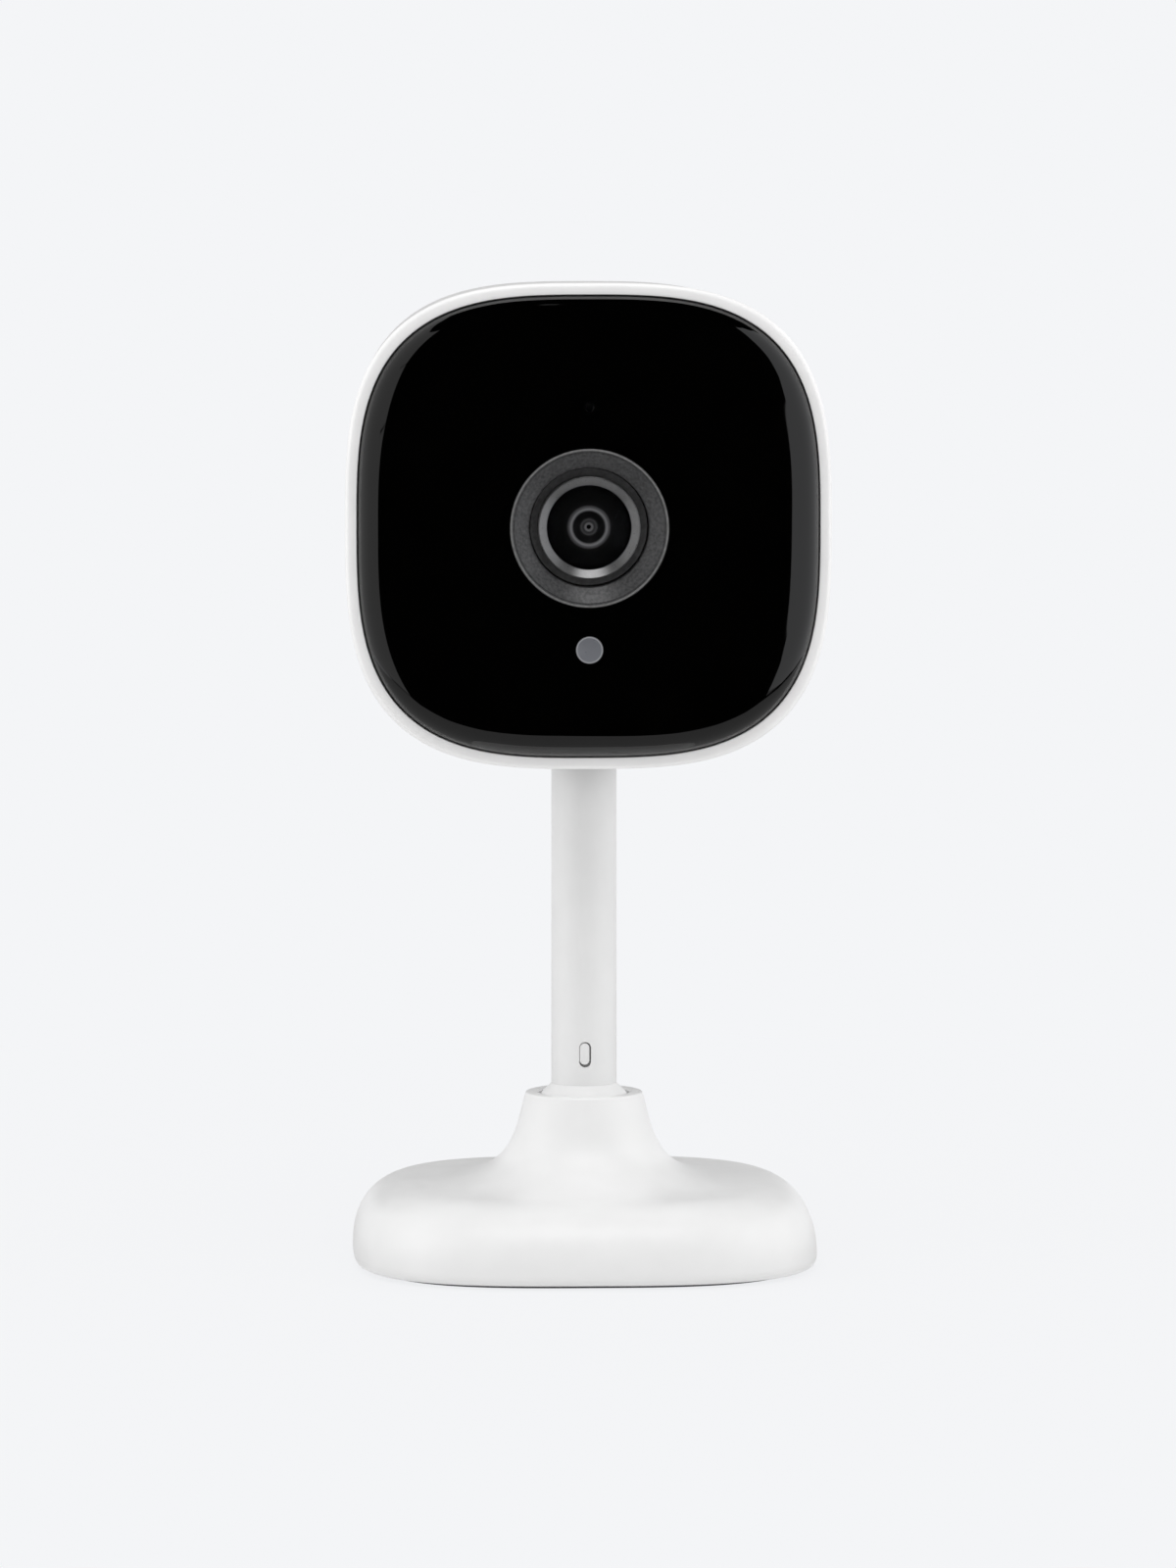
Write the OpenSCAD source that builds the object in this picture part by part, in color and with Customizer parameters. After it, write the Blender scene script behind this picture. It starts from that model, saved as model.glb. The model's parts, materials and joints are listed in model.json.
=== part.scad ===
// Indoor security camera: a tilting head on a round stem that swivels in a weighted base.
// The base stands on z = 0, the stem runs up the Z axis and the lens looks along -Y.

/* [Head] */
// Width of the head
head_w = 58; // [48:1:70]
// Height of the head
head_h = 58; // [48:1:70]
// Depth of the head, from the window's face to the back
head_depth = 32; // [30:0.5:39]
// Distance from the stem's axis forward to the window's face
face_reach = 18; // [17:0.5:20]
// Height of the lens axis above the table
lens_height = 89.9; // [74:0.1:110]
// Squareness of the head's outline, where 2 is an ellipse
head_squareness = 3.1; // [2.6:0.1:4]
// Wall of the head shell
shell_wall = 1.8; // [1.5:0.1:2.2]
// Width of the shell's rim round the window
rim_w = 1.4; // [1:0.1:1.5]
// Radius of the shell's rear edge
rear_edge_r = 9; // [7:0.5:11]
// Angle at which the shell's sides draw in behind the rim
side_draft = 2.1; // [0:0.1:2.5]

/* [Window] */
// Thickness of the front window
window_t = 1.8; // [1.4:0.1:2.2]
// How far the window's face stands in front of the shell's rim
window_proud = 2.8; // [2:0.1:3.4]
// Radius of the window's front edge
window_edge_r = 3.6; // [3:0.1:4.2]
// Depth of the window's skirt behind the shell's rim
skirt_depth = 3.2; // [2:0.1:4]

/* [Lens] */
// Thread diameter of the lens barrel
lens_thread_d = 12; // [10:0.1:14.4]
// Diameter of the barrel's front
lens_front_d = 12.2; // [10.2:0.1:14.6]
// Diameter of the front glass
front_glass_d = 10; // [8:0.1:10.2]
// Outer diameter of the trim ring round the lens
trim_d = 19; // [17.6:0.1:23]
// Inner diameter of the trim ring
trim_bore_d = 14.2; // [13:0.1:16]
// Distance of the status light's centre below the trim ring
status_gap = 5; // [4:0.1:6.5]
// Diameter of the status light
status_d = 3.2; // [2:0.1:4]
// Distance of the microphone's centre above the trim ring
mic_gap = 4.9; // [4:0.1:6.5]
// Diameter of the microphone hole
mic_hole_d = 1; // [0.6:0.1:1.4]

/* [Night filter] */
// Side of each square filter glass
filter_side = 6; // [5:0.1:6]
// Travel of the filter carriage
filter_travel = 6.6; // [6.4:0.1:6.8]

/* [Boards] */
// Thickness of the main board
main_board_t = 1.2; // [0.8:0.1:1.6]
// Radius of the light board behind the window
led_board_r = 19; // [18.6:0.1:20]
// Thickness of the light board and the port board
small_board_t = 1; // [0.8:0.1:1.2]
// Shank diameter of the small screws
screw_d = 1.9; // [1.4:0.1:2.2]
// Diameter of the speaker
speaker_d = 20; // [16:0.5:22]
// Diameter of each hole in the speaker grille
grille_hole_d = 1.3; // [0.8:0.1:1.6]
// Width of the power inlet's metal mouth
usb_w = 8.94; // [7.4:0.01:9]
// Height of the power inlet's metal mouth
usb_h = 3.26; // [2.4:0.01:3.6]
// Travel of the reset button
reset_travel = 0.5; // [0.3:0.05:0.6]

/* [Tilt hinge] */
// Drop of the tilt axis below the lens axis
tilt_drop = 16.5; // [15.5:0.1:17]
// Angle that the head tilts down
tilt_down = 25; // [0:1:25]
// Angle that the head tilts up
tilt_up = 90; // [45:1:90]
// Diameter of the hinge pin
hinge_pin_d = 3; // [2.5:0.1:3.6]
// Diameter of the knuckle on the stem's top
knuckle_d = 8.6; // [7.4:0.1:9]
// Wall of the hinge bracket
bracket_wall = 1.6; // [1.2:0.1:1.8]

/* [Stem] */
// Outer diameter of the stem
stem_d = 7.9; // [6.6:0.1:8.1]
// Wall of the stem's tube
stem_wall = 0.9; // [0.7:0.1:1.1]
// Height of the collar's top, where the tube starts
collar_top = 21.4; // [21:0.1:23.5]
// Diameter of the collar's flared edge
flare_d = 10.4; // [10.2:0.1:11.4]
// Diameter of the collar's journal in the base
journal_d = 10; // [8.4:0.1:10]
// Width of the latch window in the stem
latch_w = 1.42; // [1.2:0.01:1.8]
// Height of the latch window in the stem
latch_h = 3.1; // [2.6:0.1:3.6]

/* [Base] */
// Width and depth of the base
base_w = 56; // [46:1:68]
// Squareness of the base's outline, where 2 is a circle
base_squareness = 3.1; // [2.6:0.1:4]
// Height of the base's shoulder
shoulder_h = 9.6; // [8.6:0.1:11]
// Height of the neck's top
neck_top = 20.3; // [19.8:0.1:22.4]
// Outer diameter of the neck's top
neck_d = 14.3; // [13.4:0.1:17]
// Wall of the base cover at its foot
cover_wall = 1.8; // [1.4:0.1:2.2]
// Thickness of the foot pad
pad_t = 1; // [0.6:0.1:1.4]
// Thickness of the base plate
plate_t = 1.6; // [1.2:0.1:1.8]
// Thickness of the steel weight
weight_t = 3.2; // [2:0.1:3.2]
// Distance between the two wall screws
wall_screw_spacing = 30; // [28:0.5:31]
// Diameter of the wall-screw holes
wall_screw_d = 4.4; // [3.6:0.1:5]

/* [Fits] */
// Radial clearance of a turning fit
turn_gap = 0.05; // [0.02:0.01:0.1]
// Clearance round a piece that is put in place by hand
slip_gap = 0.1; // [0.05:0.01:0.15]
// Clearance between pieces that move past each other
pass_gap = 0.3; // [0.25:0.01:0.4]

/* [Hidden] */
$fn = 48;

// Outlines of the moulded shells
outline_points = 96;
edge_steps = 8;
inner_edge_steps = 5;
rim_edge_r = 0.5;
overlap = 0.1;

// Depth levels of the head, along Y
face_y = -face_reach;
back_y = face_y + head_depth;
rim_y = face_y + window_proud;
ledge_y = rim_y + skirt_depth;
window_back_y = face_y + window_t;
back_in_y = back_y - shell_wall;

// Screws
screw_r = screw_d / 2;
pilot_r = screw_r + 0.05;
hole_r = screw_r + 0.15;
screw_head_r = screw_r + 0.75;
screw_head_h = 1.2;
boss_r = screw_r + 1.15;

// Light board, just behind the window
status_drop = trim_d / 2 + status_gap;
mic_rise = trim_d / 2 + mic_gap;
led_face_y = window_back_y + 2.6;
led_back_y = led_face_y + small_board_t;
led_board_hole_r = trim_bore_d / 2 + 1.1;
spacer_r = 1.8;
spacer_reach = 16;
spacer_angles = [45, 135, 200, 340];
ir_led_side = 3.5;
ir_led_h = 1.2;
ir_led_reach = 13.5;
ir_led_angles = [15, 165, 235, 305];

// Lens, from its front to the sensor
lens_face_y = face_y + 0.9;
glass_seat_y = lens_face_y + 0.8;
glass_back_y = glass_seat_y + 1.7;
baffle_y = glass_back_y + 2;
baffle_t = 0.2;
baffle_r = 2.45;
inner_bore_r = lens_thread_d / 2 - 2.2;
inner_glass_r = inner_bore_r - turn_gap;
lens_end_y = baffle_y + 6.6;
head_part_l = 3.5;
barrel_rim_y = lens_face_y + 2.2;
barrel_rim_t = 0.6;
glass_bulge = 1.3;
holder_face_y = lens_face_y + 4.7;
holder_r = lens_thread_d / 2 + 1.2;
flange_t = 1;

// Night filter frame between the lens holder and the main board
carriage_l = filter_travel + filter_side + 1.8;
carriage_h = filter_side + 1.6;
carriage_t = 0.9;
filter_t = 0.5;
guide_gap = 0.15;
frame_wall = 0.8;
frame_in_l = carriage_l + filter_travel + 2 * pass_gap;
frame_in_h = carriage_h + 0.4;
frame_l = frame_in_l + 2 * frame_wall;
frame_h = frame_in_h + 4;
channel_y = lens_end_y + frame_wall;
channel_t = carriage_t + 2 * guide_gap;
sensor_side = 8;
sensor_t = 1;
sensor_pocket_y = channel_y + channel_t + frame_wall;
board_face_y = sensor_pocket_y + sensor_t + 0.2;
board_back_y = board_face_y + main_board_t;
ear_x = 8;
ear_z = frame_h / 2 + 1.8;
ear_r = 2.2;

// Tilt hinge
tilt_height = lens_height - tilt_drop;
pocket_r = knuckle_d / 2 + pass_gap;
slot_w = stem_d + 2 * pass_gap + 0.3;
ear_t = 2.4;
bracket_w = slot_w + 2 * ear_t;
bracket_gap = 0.2;
knuckle_w = stem_d - 0.5;
pin_r = hinge_pin_d / 2;
pin_head_r = pin_r + 1.25;
pin_head_h = 1.8;
nut_flats_d = 5.5 + (hinge_pin_d - 3);
nut_h = 2.4;
far = 80;

// Main board, cut off above the hinge bracket
board_gap = 0.8;
board_low_z = -tilt_drop + pocket_r + bracket_wall + 0.6;
board_half_w = head_w / 2 - shell_wall - draft_inset(board_back_y) - board_gap;
board_half_h = head_h / 2 - shell_wall - draft_inset(board_back_y) - board_gap;
boss_high = [board_half_w - 6.9, board_half_h - 10.9];
boss_low = [board_half_w - 4.3, board_low_z + 2.4];
main_bosses = [for (side = [-1, 1], p = [boss_high, boss_low]) [side * p[0], p[1]]];

// Rear of the head: bracket tab, port board, power inlet, reset button and speaker
tab_y = 3;
tab_t = 1.6;
tab_w = bracket_w - 0.8;
tab_boss_x = 4;
tab_boss_z = board_low_z + 3.3;
tab_top_z = tab_boss_z + 3;
port_face_y = back_in_y - 6;
port_back_y = port_face_y - small_board_t;
port_low_x = bracket_w / 2 + 1.4;
port_high_x = boss_low[0] - boss_r - 0.6;
port_half_w = head_w / 2 - shell_wall - draft_inset(port_face_y) - board_gap;
port_half_h = head_h / 2 - shell_wall - draft_inset(port_face_y) - board_gap;
port_low_z = -tilt_drop - 7;
port_high_z = tab_top_z - 0.2;
usb_x = port_low_x + usb_w / 2 + 1.2;
usb_z = -tilt_drop + 0.2;
usb_wall = 0.3;
usb_recess = 0.6;
usb_gap = 0.22;
port_bosses = [[port_low_x + 2.4, port_high_z - 2.5], [usb_x - 2, usb_z - 4.5]];
reset_x = port_high_x - 3.2;
reset_z = port_high_z - 4;
reset_pin_r = 1.5;
reset_flange_r = 2.3;
reset_flange_t = 0.8;
reset_guide_y = back_in_y - 1.6;
reset_switch_h = 2.3;
speaker_z = head_h / 2 - rear_edge_r - draft_inset(back_in_y) - speaker_d / 2 - 0.2;
speaker_t = 4.1;
gasket_t = 0.5;
gasket_w = 1.4;
cup_r = speaker_d / 2 + slip_gap;
cup_t = 1;
cup_depth = 3.7;
grille_rings = [[0, 1], [2.6, 6], [5.2, 12]];

// Parts on the main board
processor_side = 11;
processor_h = 1.2;
processor_z = 5;
pad_h = 0.5;
spreader_w = 23;
spreader_h = 20;
spreader_t = 1;
spreader_z = 8;
card_l = 14;
card_w = 12;
card_h = 1.9;
card_z = 2.5;
card_slot_w = 11.4;
card_slot_t = 1.2;
card_slot_y = board_back_y + (card_h - card_slot_t) / 2;
shield_w = 11;
shield_h = 13;
shield_t = 2;
shield_z = 2.5;
antenna_w = 18;
antenna_t = 0.4;
antenna_face_y = 1;
antenna_back_y = 5;

// Stem
stem_r = stem_d / 2;
tube_in_r = stem_r - stem_wall;
spigot_r = tube_in_r - slip_gap;
spigot_bore_r = spigot_r - 1.05;
tube_top = tilt_height - knuckle_d / 2 - 2.2;
spigot_l = 11;
tail_l = 8;
latch_z = collar_top + 3.8;
tongue_t = 0.8;
tongue_y = -spigot_r + 0.2;
tongue_root_z = latch_z + 5;
tongue_top_z = tongue_root_z + tongue_t / 2;
tongue_low_z = latch_z - 2.4;
tongue_w = 2;
tongue_gap = 0.25;
bump_play = 0.1;
bump_drop_room = 0.3;

// Swivel
flare_r = flare_d / 2;
flare_h = 1.3;
flare_z = collar_top - flare_h;
journal_r = journal_d / 2;
roof_t = 1.9;
roof_z = shoulder_h - roof_t;
wave_t = 0.4;
swivel_washer_t = 1;
swivel_washer_r = journal_r + 2.6;
journal_end_z = roof_z - wave_t - turn_gap;
swivel_washer_z = journal_end_z - swivel_washer_t;
swivel_screw_r = 1.5;
swivel_screw_l = 8;
swivel_head_r = 2.75;
swivel_head_h = 1.6;
mouth_r = flare_r + pass_gap;
mouth_z = flare_z - 0.4;

// Base
base_r = base_w / 2;
foot_edge_z = 0.5;
widest_z = 1.2;
shoulder_run = 8.5;
shoulder_power = 2.4;
shoulder_r = base_r - shoulder_run;
neck_r = neck_d / 2;
neck_edge_r = 0.3;
plate_z = pad_t;
plate_top = plate_z + plate_t;
seat_top = plate_top + 0.1;
seat_r = base_r - cover_wall;
plate_r = seat_r - 0.2;
pad_r = plate_r - 0.1;
cavity_r = base_r - 4.1;
weight_r = cavity_r - 0.4;
weight_z = roof_z - weight_t;
weight_hole_r = swivel_washer_r + 0.9;
weight_screw_reach = 17;
wall_head_r = wall_screw_d / 2 + 2.4;
clip_w = 5;
clip_t = 1.2;
clip_h = 0.8;

// ---------------------------------------------------------------- outlines and helpers

// Distance from the centre to a rounded square of half sizes a and b, in the direction t
function squircle_reach(a, b, n, t) = pow(pow(abs(cos(t)) / a, n) + pow(abs(sin(t)) / b, n), -1 / n);

function squircle(a, b, n) = [
    for (i = [0 : outline_points - 1])
        let (t = 360 * i / outline_points)
        squircle_reach(a, b, n, t) * [cos(t), sin(t)]
];

// Upright outline of the head, moved in from its sides, at one depth
function head_ring(y, inset) = [
    for (p = squircle(head_w / 2 - inset, head_h / 2 - inset, head_squareness))
        [p[0], y, lens_height + p[1]]
];

// How far the shell's sides have drawn in at one depth
function draft_inset(y) = max(0, y - rim_y - rim_edge_r) * tan(side_draft);

function shell_ring(y, inset) = head_ring(y, inset + draft_inset(y));

// Level outline of the base, from a circle at the neck to a rounded square outside
function base_ring(r, z) =
    let (s = max(0, min(1, (r - neck_r) / (shoulder_r - neck_r))))
    let (n = 2 + (base_squareness - 2) * s * s * (3 - 2 * s))
    [for (p = squircle(r, r, n)) [p[0], p[1], z]];

// Point of a cubic curve through four control points
function curve_point(p, u) =
    pow(1 - u, 3) * p[0] + 3 * pow(1 - u, 2) * u * p[1] + 3 * (1 - u) * u * u * p[2] + u * u * u * p[3];

// Closed skin over rings of equally many points, with flat ends
module skin(rings) {
    k = len(rings[0]);
    last = len(rings) - 1;
    sides = [
        for (j = [0 : last - 1], i = [0 : k - 1])
            let (a = j * k + i, b = j * k + (i + 1) % k)
            each [[a, b, b + k], [a, b + k, a + k]]
    ];
    first_end = [for (i = [0 : k - 1]) k - 1 - i];
    last_end = [for (i = [0 : k - 1]) last * k + i];
    polyhedron([for (ring = rings) each ring], concat(sides, [first_end, last_end]), convexity = 6);
}

// Cylinder along Z from z0 to z1
module rod_z(r, z0, z1, x = 0, y = 0) {
    translate([x, y, z0]) cylinder(h = z1 - z0, r = r);
}

// Cylinder along Y from y0 to y1
module rod_y(r, y0, y1, x = 0, z = 0) {
    translate([x, y0, z]) rotate([-90, 0, 0]) cylinder(h = y1 - y0, r = r);
}

// Cylinder along X from x0 to x1
module rod_x(r, x0, x1, y = 0, z = 0) {
    translate([x0, y, z]) rotate([0, 90, 0]) cylinder(h = x1 - x0, r = r);
}

// Block between two levels along Y, centred on x and z
module block_y(w, h, y0, y1, x = 0, z = 0) {
    translate([x - w / 2, y0, z - h / 2]) cube([w, y1 - y0, h]);
}

// Body of revolution about the lens axis, from points [radius, depth]
module turned_y(points) {
    rotate([-90, 0, 0]) rotate_extrude() polygon(points);
}

// Slab of width w across X, from a side outline [depth, height]
module side_slab(w) {
    translate([-w / 2, 0, 0]) rotate([90, 0, 90]) linear_extrude(w) children();
}

// Slot with round ends along X, from y0 to y1
module round_slot_y(w, h, y0, y1) {
    block_y(w - h, h, y0, y1);
    for (side = [-1, 1]) rod_y(h / 2, y0, y1, side * (w - h) / 2);
}

// Slot with round ends along Z, from y0 to y1
module upright_slot_y(w, h, y0, y1) {
    block_y(w, h - w, y0, y1);
    for (side = [-1, 1]) rod_y(w / 2, y0, y1, 0, side * (h - w) / 2);
}

// Screw along Y: its head stands in front of seat_y and its shank runs back
module screw_y(seat_y, l, p) {
    rod_y(screw_head_r, seat_y - screw_head_h, seat_y, p[0], p[1]);
    rod_y(screw_r, seat_y - overlap, seat_y + l, p[0], p[1]);
}

// Position on a circle round the lens axis
function round_lens(reach, angle) = reach * [cos(angle), sin(angle)];

module at_lens() translate([0, 0, lens_height]) children();

module at_tilt() translate([0, 0, tilt_height]) children();

// ---------------------------------------------------------------- head shell and window

// Side outline of the room that the stem sweeps inside the head, made larger by grow
module sweep_outline(grow) {
    r = pocket_r + grow;
    front = [-cos(tilt_down), sin(tilt_down)] * r;
    rear = [cos(tilt_up), sin(tilt_up)] * r;
    circle(r);
    polygon([
        front,
        front + far * [-sin(tilt_down), -cos(tilt_down)],
        rear + far * [sin(tilt_up), -cos(tilt_up)],
        rear
    ]);
}

module shell_cup() {
    inner_r = rear_edge_r - shell_wall;
    inside = [
        for (i = [inner_edge_steps : -1 : 0])
            let (a = 90 * i / inner_edge_steps)
            shell_ring(back_in_y - inner_r + inner_r * sin(a), shell_wall + inner_r * (1 - cos(a)))
    ];
    front = [
        shell_ring(ledge_y, shell_wall),
        head_ring(ledge_y, rim_w),
        head_ring(rim_y, rim_w),
        head_ring(rim_y, rim_edge_r),
        head_ring(rim_y + rim_edge_r, 0)
    ];
    outside = [
        for (i = [0 : edge_steps])
            let (a = 90 * i / edge_steps)
            shell_ring(back_y - rear_edge_r + rear_edge_r * sin(a), rear_edge_r * (1 - cos(a)))
    ];
    skin(concat(inside, front, outside));
}

// Post on the shell's back wall with a pilot hole, ending at y0
module shell_post(p, y0) {
    difference() {
        rod_y(boss_r, y0, back_in_y + overlap, p[0], p[1]);
        rod_y(pilot_r, y0 - 1, back_in_y - 1, p[0], p[1]);
    }
}

module shell_posts() {
    for (p = main_bosses) shell_post(p, board_back_y);
    for (p = port_bosses) shell_post(p, port_face_y);
    for (side = [-1, 1]) shell_post([side * tab_boss_x, tab_boss_z], tab_y + tab_t);
    difference() {
        union() {
            rod_y(cup_r + cup_t, back_in_y - cup_depth, back_in_y + overlap, 0, speaker_z);
            rod_y(reset_pin_r + 1.2, reset_guide_y, back_in_y + overlap, reset_x, reset_z);
        }
        rod_y(cup_r, back_in_y - cup_depth - 1, back_in_y, 0, speaker_z);
    }
}

module head_shell() {
    color("white")
    difference() {
        union() {
            shell_cup();
            at_lens() shell_posts();
        }
        at_tilt() side_slab(slot_w) sweep_outline(0);
        at_lens() {
            translate([usb_x, 0, usb_z])
                round_slot_y(usb_w + 2 * usb_gap, usb_h + 2 * usb_gap, back_in_y - 1, back_y + 1);
            rod_y(reset_pin_r + guide_gap, reset_guide_y - 1, back_y + 1, reset_x, reset_z);
            for (ring = grille_rings, i = [0 : ring[1] - 1])
                let (p = round_lens(ring[0], 360 * i / ring[1]))
                rod_y(grille_hole_d / 2, back_in_y - 1, back_y + 1, p[0], speaker_z + p[1]);
            block_y(8, card_slot_w, card_slot_y, card_slot_y + card_slot_t, head_w / 2, card_z);
        }
    }
}

module front_window() {
    side = rim_w + turn_gap;
    inner_r = window_edge_r - window_t;
    outside = [
        for (i = [0 : edge_steps])
            let (a = 90 * i / edge_steps)
            head_ring(face_y + window_edge_r * (1 - cos(a)), side + window_edge_r * (1 - sin(a)))
    ];
    inside = [
        for (i = [inner_edge_steps : -1 : 0])
            let (a = 90 * i / inner_edge_steps)
            head_ring(face_y + window_edge_r - inner_r * cos(a), side + window_edge_r - inner_r * sin(a))
    ];
    color("black")
    difference() {
        skin(concat(outside, [head_ring(ledge_y, side), head_ring(ledge_y, side + window_t)], inside));
        at_lens() {
            rod_y(trim_d / 2, face_y - 1, ledge_y);
            rod_y(status_d / 2 + turn_gap, face_y - 1, ledge_y, 0, -status_drop);
            rod_y(mic_hole_d / 2, face_y - 1, ledge_y, 0, mic_rise);
        }
    }
}

// ---------------------------------------------------------------- lens

module lens_ring() {
    out_r = trim_d / 2 - turn_gap;
    in_r = trim_bore_d / 2;
    flange_r = out_r + 1.1;
    flange_y = window_back_y + 0.8;
    color("dimgray")
    at_lens() turned_y([
        [out_r - 0.25, face_y], [out_r, face_y + 0.25], [out_r, window_back_y], [flange_r, window_back_y],
        [flange_r, flange_y], [in_r + 0.8, flange_y], [in_r + 0.8, led_face_y - pass_gap],
        [in_r, led_face_y - pass_gap], [in_r, face_y + 1.5], [out_r - 0.5, face_y + 0.15]
    ]);
}

module lens_barrel() {
    front_r = lens_front_d / 2;
    thread_r = lens_thread_d / 2;
    glass_r = front_glass_d / 2;
    barrel_rim_r = trim_bore_d / 2 - slip_gap;
    color("gray")
    at_lens() turned_y([
        [front_r - 0.1, lens_face_y], [front_r, lens_face_y + 0.1], [front_r, barrel_rim_y],
        [barrel_rim_r, barrel_rim_y], [barrel_rim_r, barrel_rim_y + barrel_rim_t],
        [front_r, barrel_rim_y + barrel_rim_t], [front_r, lens_face_y + head_part_l],
        [thread_r, lens_face_y + head_part_l], [thread_r, lens_end_y], [inner_bore_r, lens_end_y],
        [inner_bore_r, baffle_y], [baffle_r, baffle_y], [baffle_r, baffle_y - baffle_t],
        [glass_r - 0.8, glass_back_y], [glass_r, glass_back_y], [glass_r, glass_seat_y]
    ]);
}

// Outline of a round glass: flat edge of radius r, a bulge in front and another behind
function glass_outline(r, y0, y1, front_bulge, rear_bulge) = concat(
    [for (i = [0 : 8]) let (s = i / 8) [r * s, y0 - front_bulge * (1 - s * s)]],
    [for (i = [8 : -1 : 0]) let (s = i / 8) [r * s, y1 + rear_bulge * (1 - s * s)]]
);

module front_glass() {
    r = front_glass_d / 2 - turn_gap;
    color("midnightblue")
    at_lens() turned_y(glass_outline(r, glass_seat_y + 0.1, glass_back_y, glass_bulge, -0.8));
}

module middle_glass() {
    color("slategray")
    at_lens() turned_y(glass_outline(inner_glass_r, baffle_y + 0.5, baffle_y + 2.5, 0.4, 0.4));
}

module aperture_stop() {
    color("black")
    at_lens() difference() {
        rod_y(inner_glass_r, baffle_y + 3, baffle_y + 3.2);
        rod_y(0.95, baffle_y + 2, baffle_y + 4);
    }
}

module rear_glass() {
    color("slategray")
    at_lens() turned_y(glass_outline(inner_glass_r, baffle_y + 3.6, baffle_y + 5.2, 0.3, 0.3));
}

module lens_retainer() {
    color("black")
    at_lens() difference() {
        rod_y(inner_glass_r, baffle_y + 5.6, lens_end_y);
        rod_y(inner_glass_r - 1, baffle_y + 5, lens_end_y + 1);
    }
}

// Flange outline that the lens holder and the filter frame share, with two screw ears
module holder_flange(y0, y1) {
    neck_h = ear_z - frame_h / 2 + overlap;
    block_y(frame_l, frame_h, y0, y1);
    for (side = [-1, 1]) {
        rod_y(ear_r, y0, y1, side * ear_x, side * ear_z);
        block_y(2 * ear_r, neck_h, y0, y1, side * ear_x, side * (ear_z - neck_h / 2));
    }
}

module lens_holder() {
    color("black")
    at_lens() difference() {
        union() {
            rod_y(holder_r, holder_face_y, lens_end_y);
            holder_flange(lens_end_y - flange_t, lens_end_y);
        }
        rod_y(lens_thread_d / 2 + turn_gap, holder_face_y - 1, lens_end_y + 1);
        for (side = [-1, 1]) rod_y(pilot_r, lens_end_y - 2, lens_end_y + 1, side * ear_x, side * ear_z);
    }
}

// Screws from behind the main board through the filter frame into the lens holder
module holder_screws() {
    color("silver")
    at_lens() for (side = [-1, 1]) {
        rod_y(screw_head_r, board_back_y, board_back_y + screw_head_h, side * ear_x, side * ear_z);
        rod_y(screw_r, lens_end_y - flange_t, board_back_y + overlap, side * ear_x, side * ear_z);
    }
}

// ---------------------------------------------------------------- night filter

module ir_cut_frame() {
    color("dimgray")
    at_lens() difference() {
        holder_flange(lens_end_y, board_face_y);
        block_y(frame_in_l, frame_in_h, channel_y, channel_y + channel_t);
        rod_y(inner_bore_r - 0.3, lens_end_y - 1, board_face_y);
        block_y(sensor_side + 0.8, sensor_side + 0.8, sensor_pocket_y, board_face_y + 1);
        for (side = [-1, 1]) rod_y(pilot_r, lens_end_y - 1, board_face_y + 1, side * ear_x, side * ear_z);
    }
}

module ir_cut_coil() {
    color("orangered")
    at_lens() block_y(8, 3.4, lens_end_y + 0.2, board_face_y - 0.4, 0, frame_h / 2 + 1.7);
}

// The carriage rests with its infrared filter on the lens axis and slides along -X
module ir_cut_carriage() {
    y0 = channel_y + guide_gap;
    color("black")
    at_lens() difference() {
        block_y(carriage_l, carriage_h, y0, y0 + carriage_t, filter_travel / 2);
        for (x = [0, filter_travel]) {
            block_y(filter_side - 1, filter_side - 1, y0 - 1, y0 + carriage_t + 1, x);
            block_y(filter_side, filter_side, y0 - 1, y0 + filter_t, x);
        }
    }
}

module filter_pane(x) {
    side = filter_side - 2 * turn_gap;
    y0 = channel_y + guide_gap;
    at_lens() block_y(side, side, y0, y0 + filter_t, x);
}

module ir_filter() color("mediumturquoise") filter_pane(0);

module clear_filter() color("aliceblue") filter_pane(filter_travel);

// ---------------------------------------------------------------- main board

module main_board() {
    color("darkgreen")
    at_lens() difference() {
        intersection() {
            translate([0, board_back_y, 0]) rotate([90, 0, 0])
                linear_extrude(main_board_t) polygon(squircle(board_half_w, board_half_h, head_squareness));
            block_y(head_w, head_h, board_face_y - 1, board_back_y + 1, 0, board_low_z + head_h / 2);
        }
        for (p = main_bosses) rod_y(hole_r, board_face_y - 1, board_back_y + 1, p[0], p[1]);
        for (side = [-1, 1]) rod_y(hole_r, board_face_y - 1, board_back_y + 1, side * ear_x, side * ear_z);
    }
}

module main_board_screws() {
    color("silver")
    at_lens() for (p = main_bosses) screw_y(board_face_y, 7, p);
}

module image_sensor() {
    color("darkslategray")
    at_lens() block_y(sensor_side, sensor_side, board_face_y - sensor_t, board_face_y);
}

// Square layer at the processor's place, from level y above the board's back
module on_board_back(side, y, t) {
    block_y(side, side, board_back_y + y, board_back_y + y + t, 0, processor_z);
}

module processor() {
    color("black")
    at_lens() on_board_back(processor_side, 0, processor_h);
}

module thermal_pad() {
    color("lightpink")
    at_lens() on_board_back(processor_side, processor_h, pad_h);
}

module heat_spreader() {
    y0 = board_back_y + processor_h + pad_h;
    color("lightgray")
    at_lens() block_y(spreader_w, spreader_h, y0, y0 + spreader_t, 0, spreader_z);
}

module wifi_shield() {
    x = -board_half_w + shield_w / 2 + 2;
    color("silver")
    at_lens() block_y(shield_w, shield_h, board_back_y, board_back_y + shield_t, x, shield_z);
}

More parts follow.
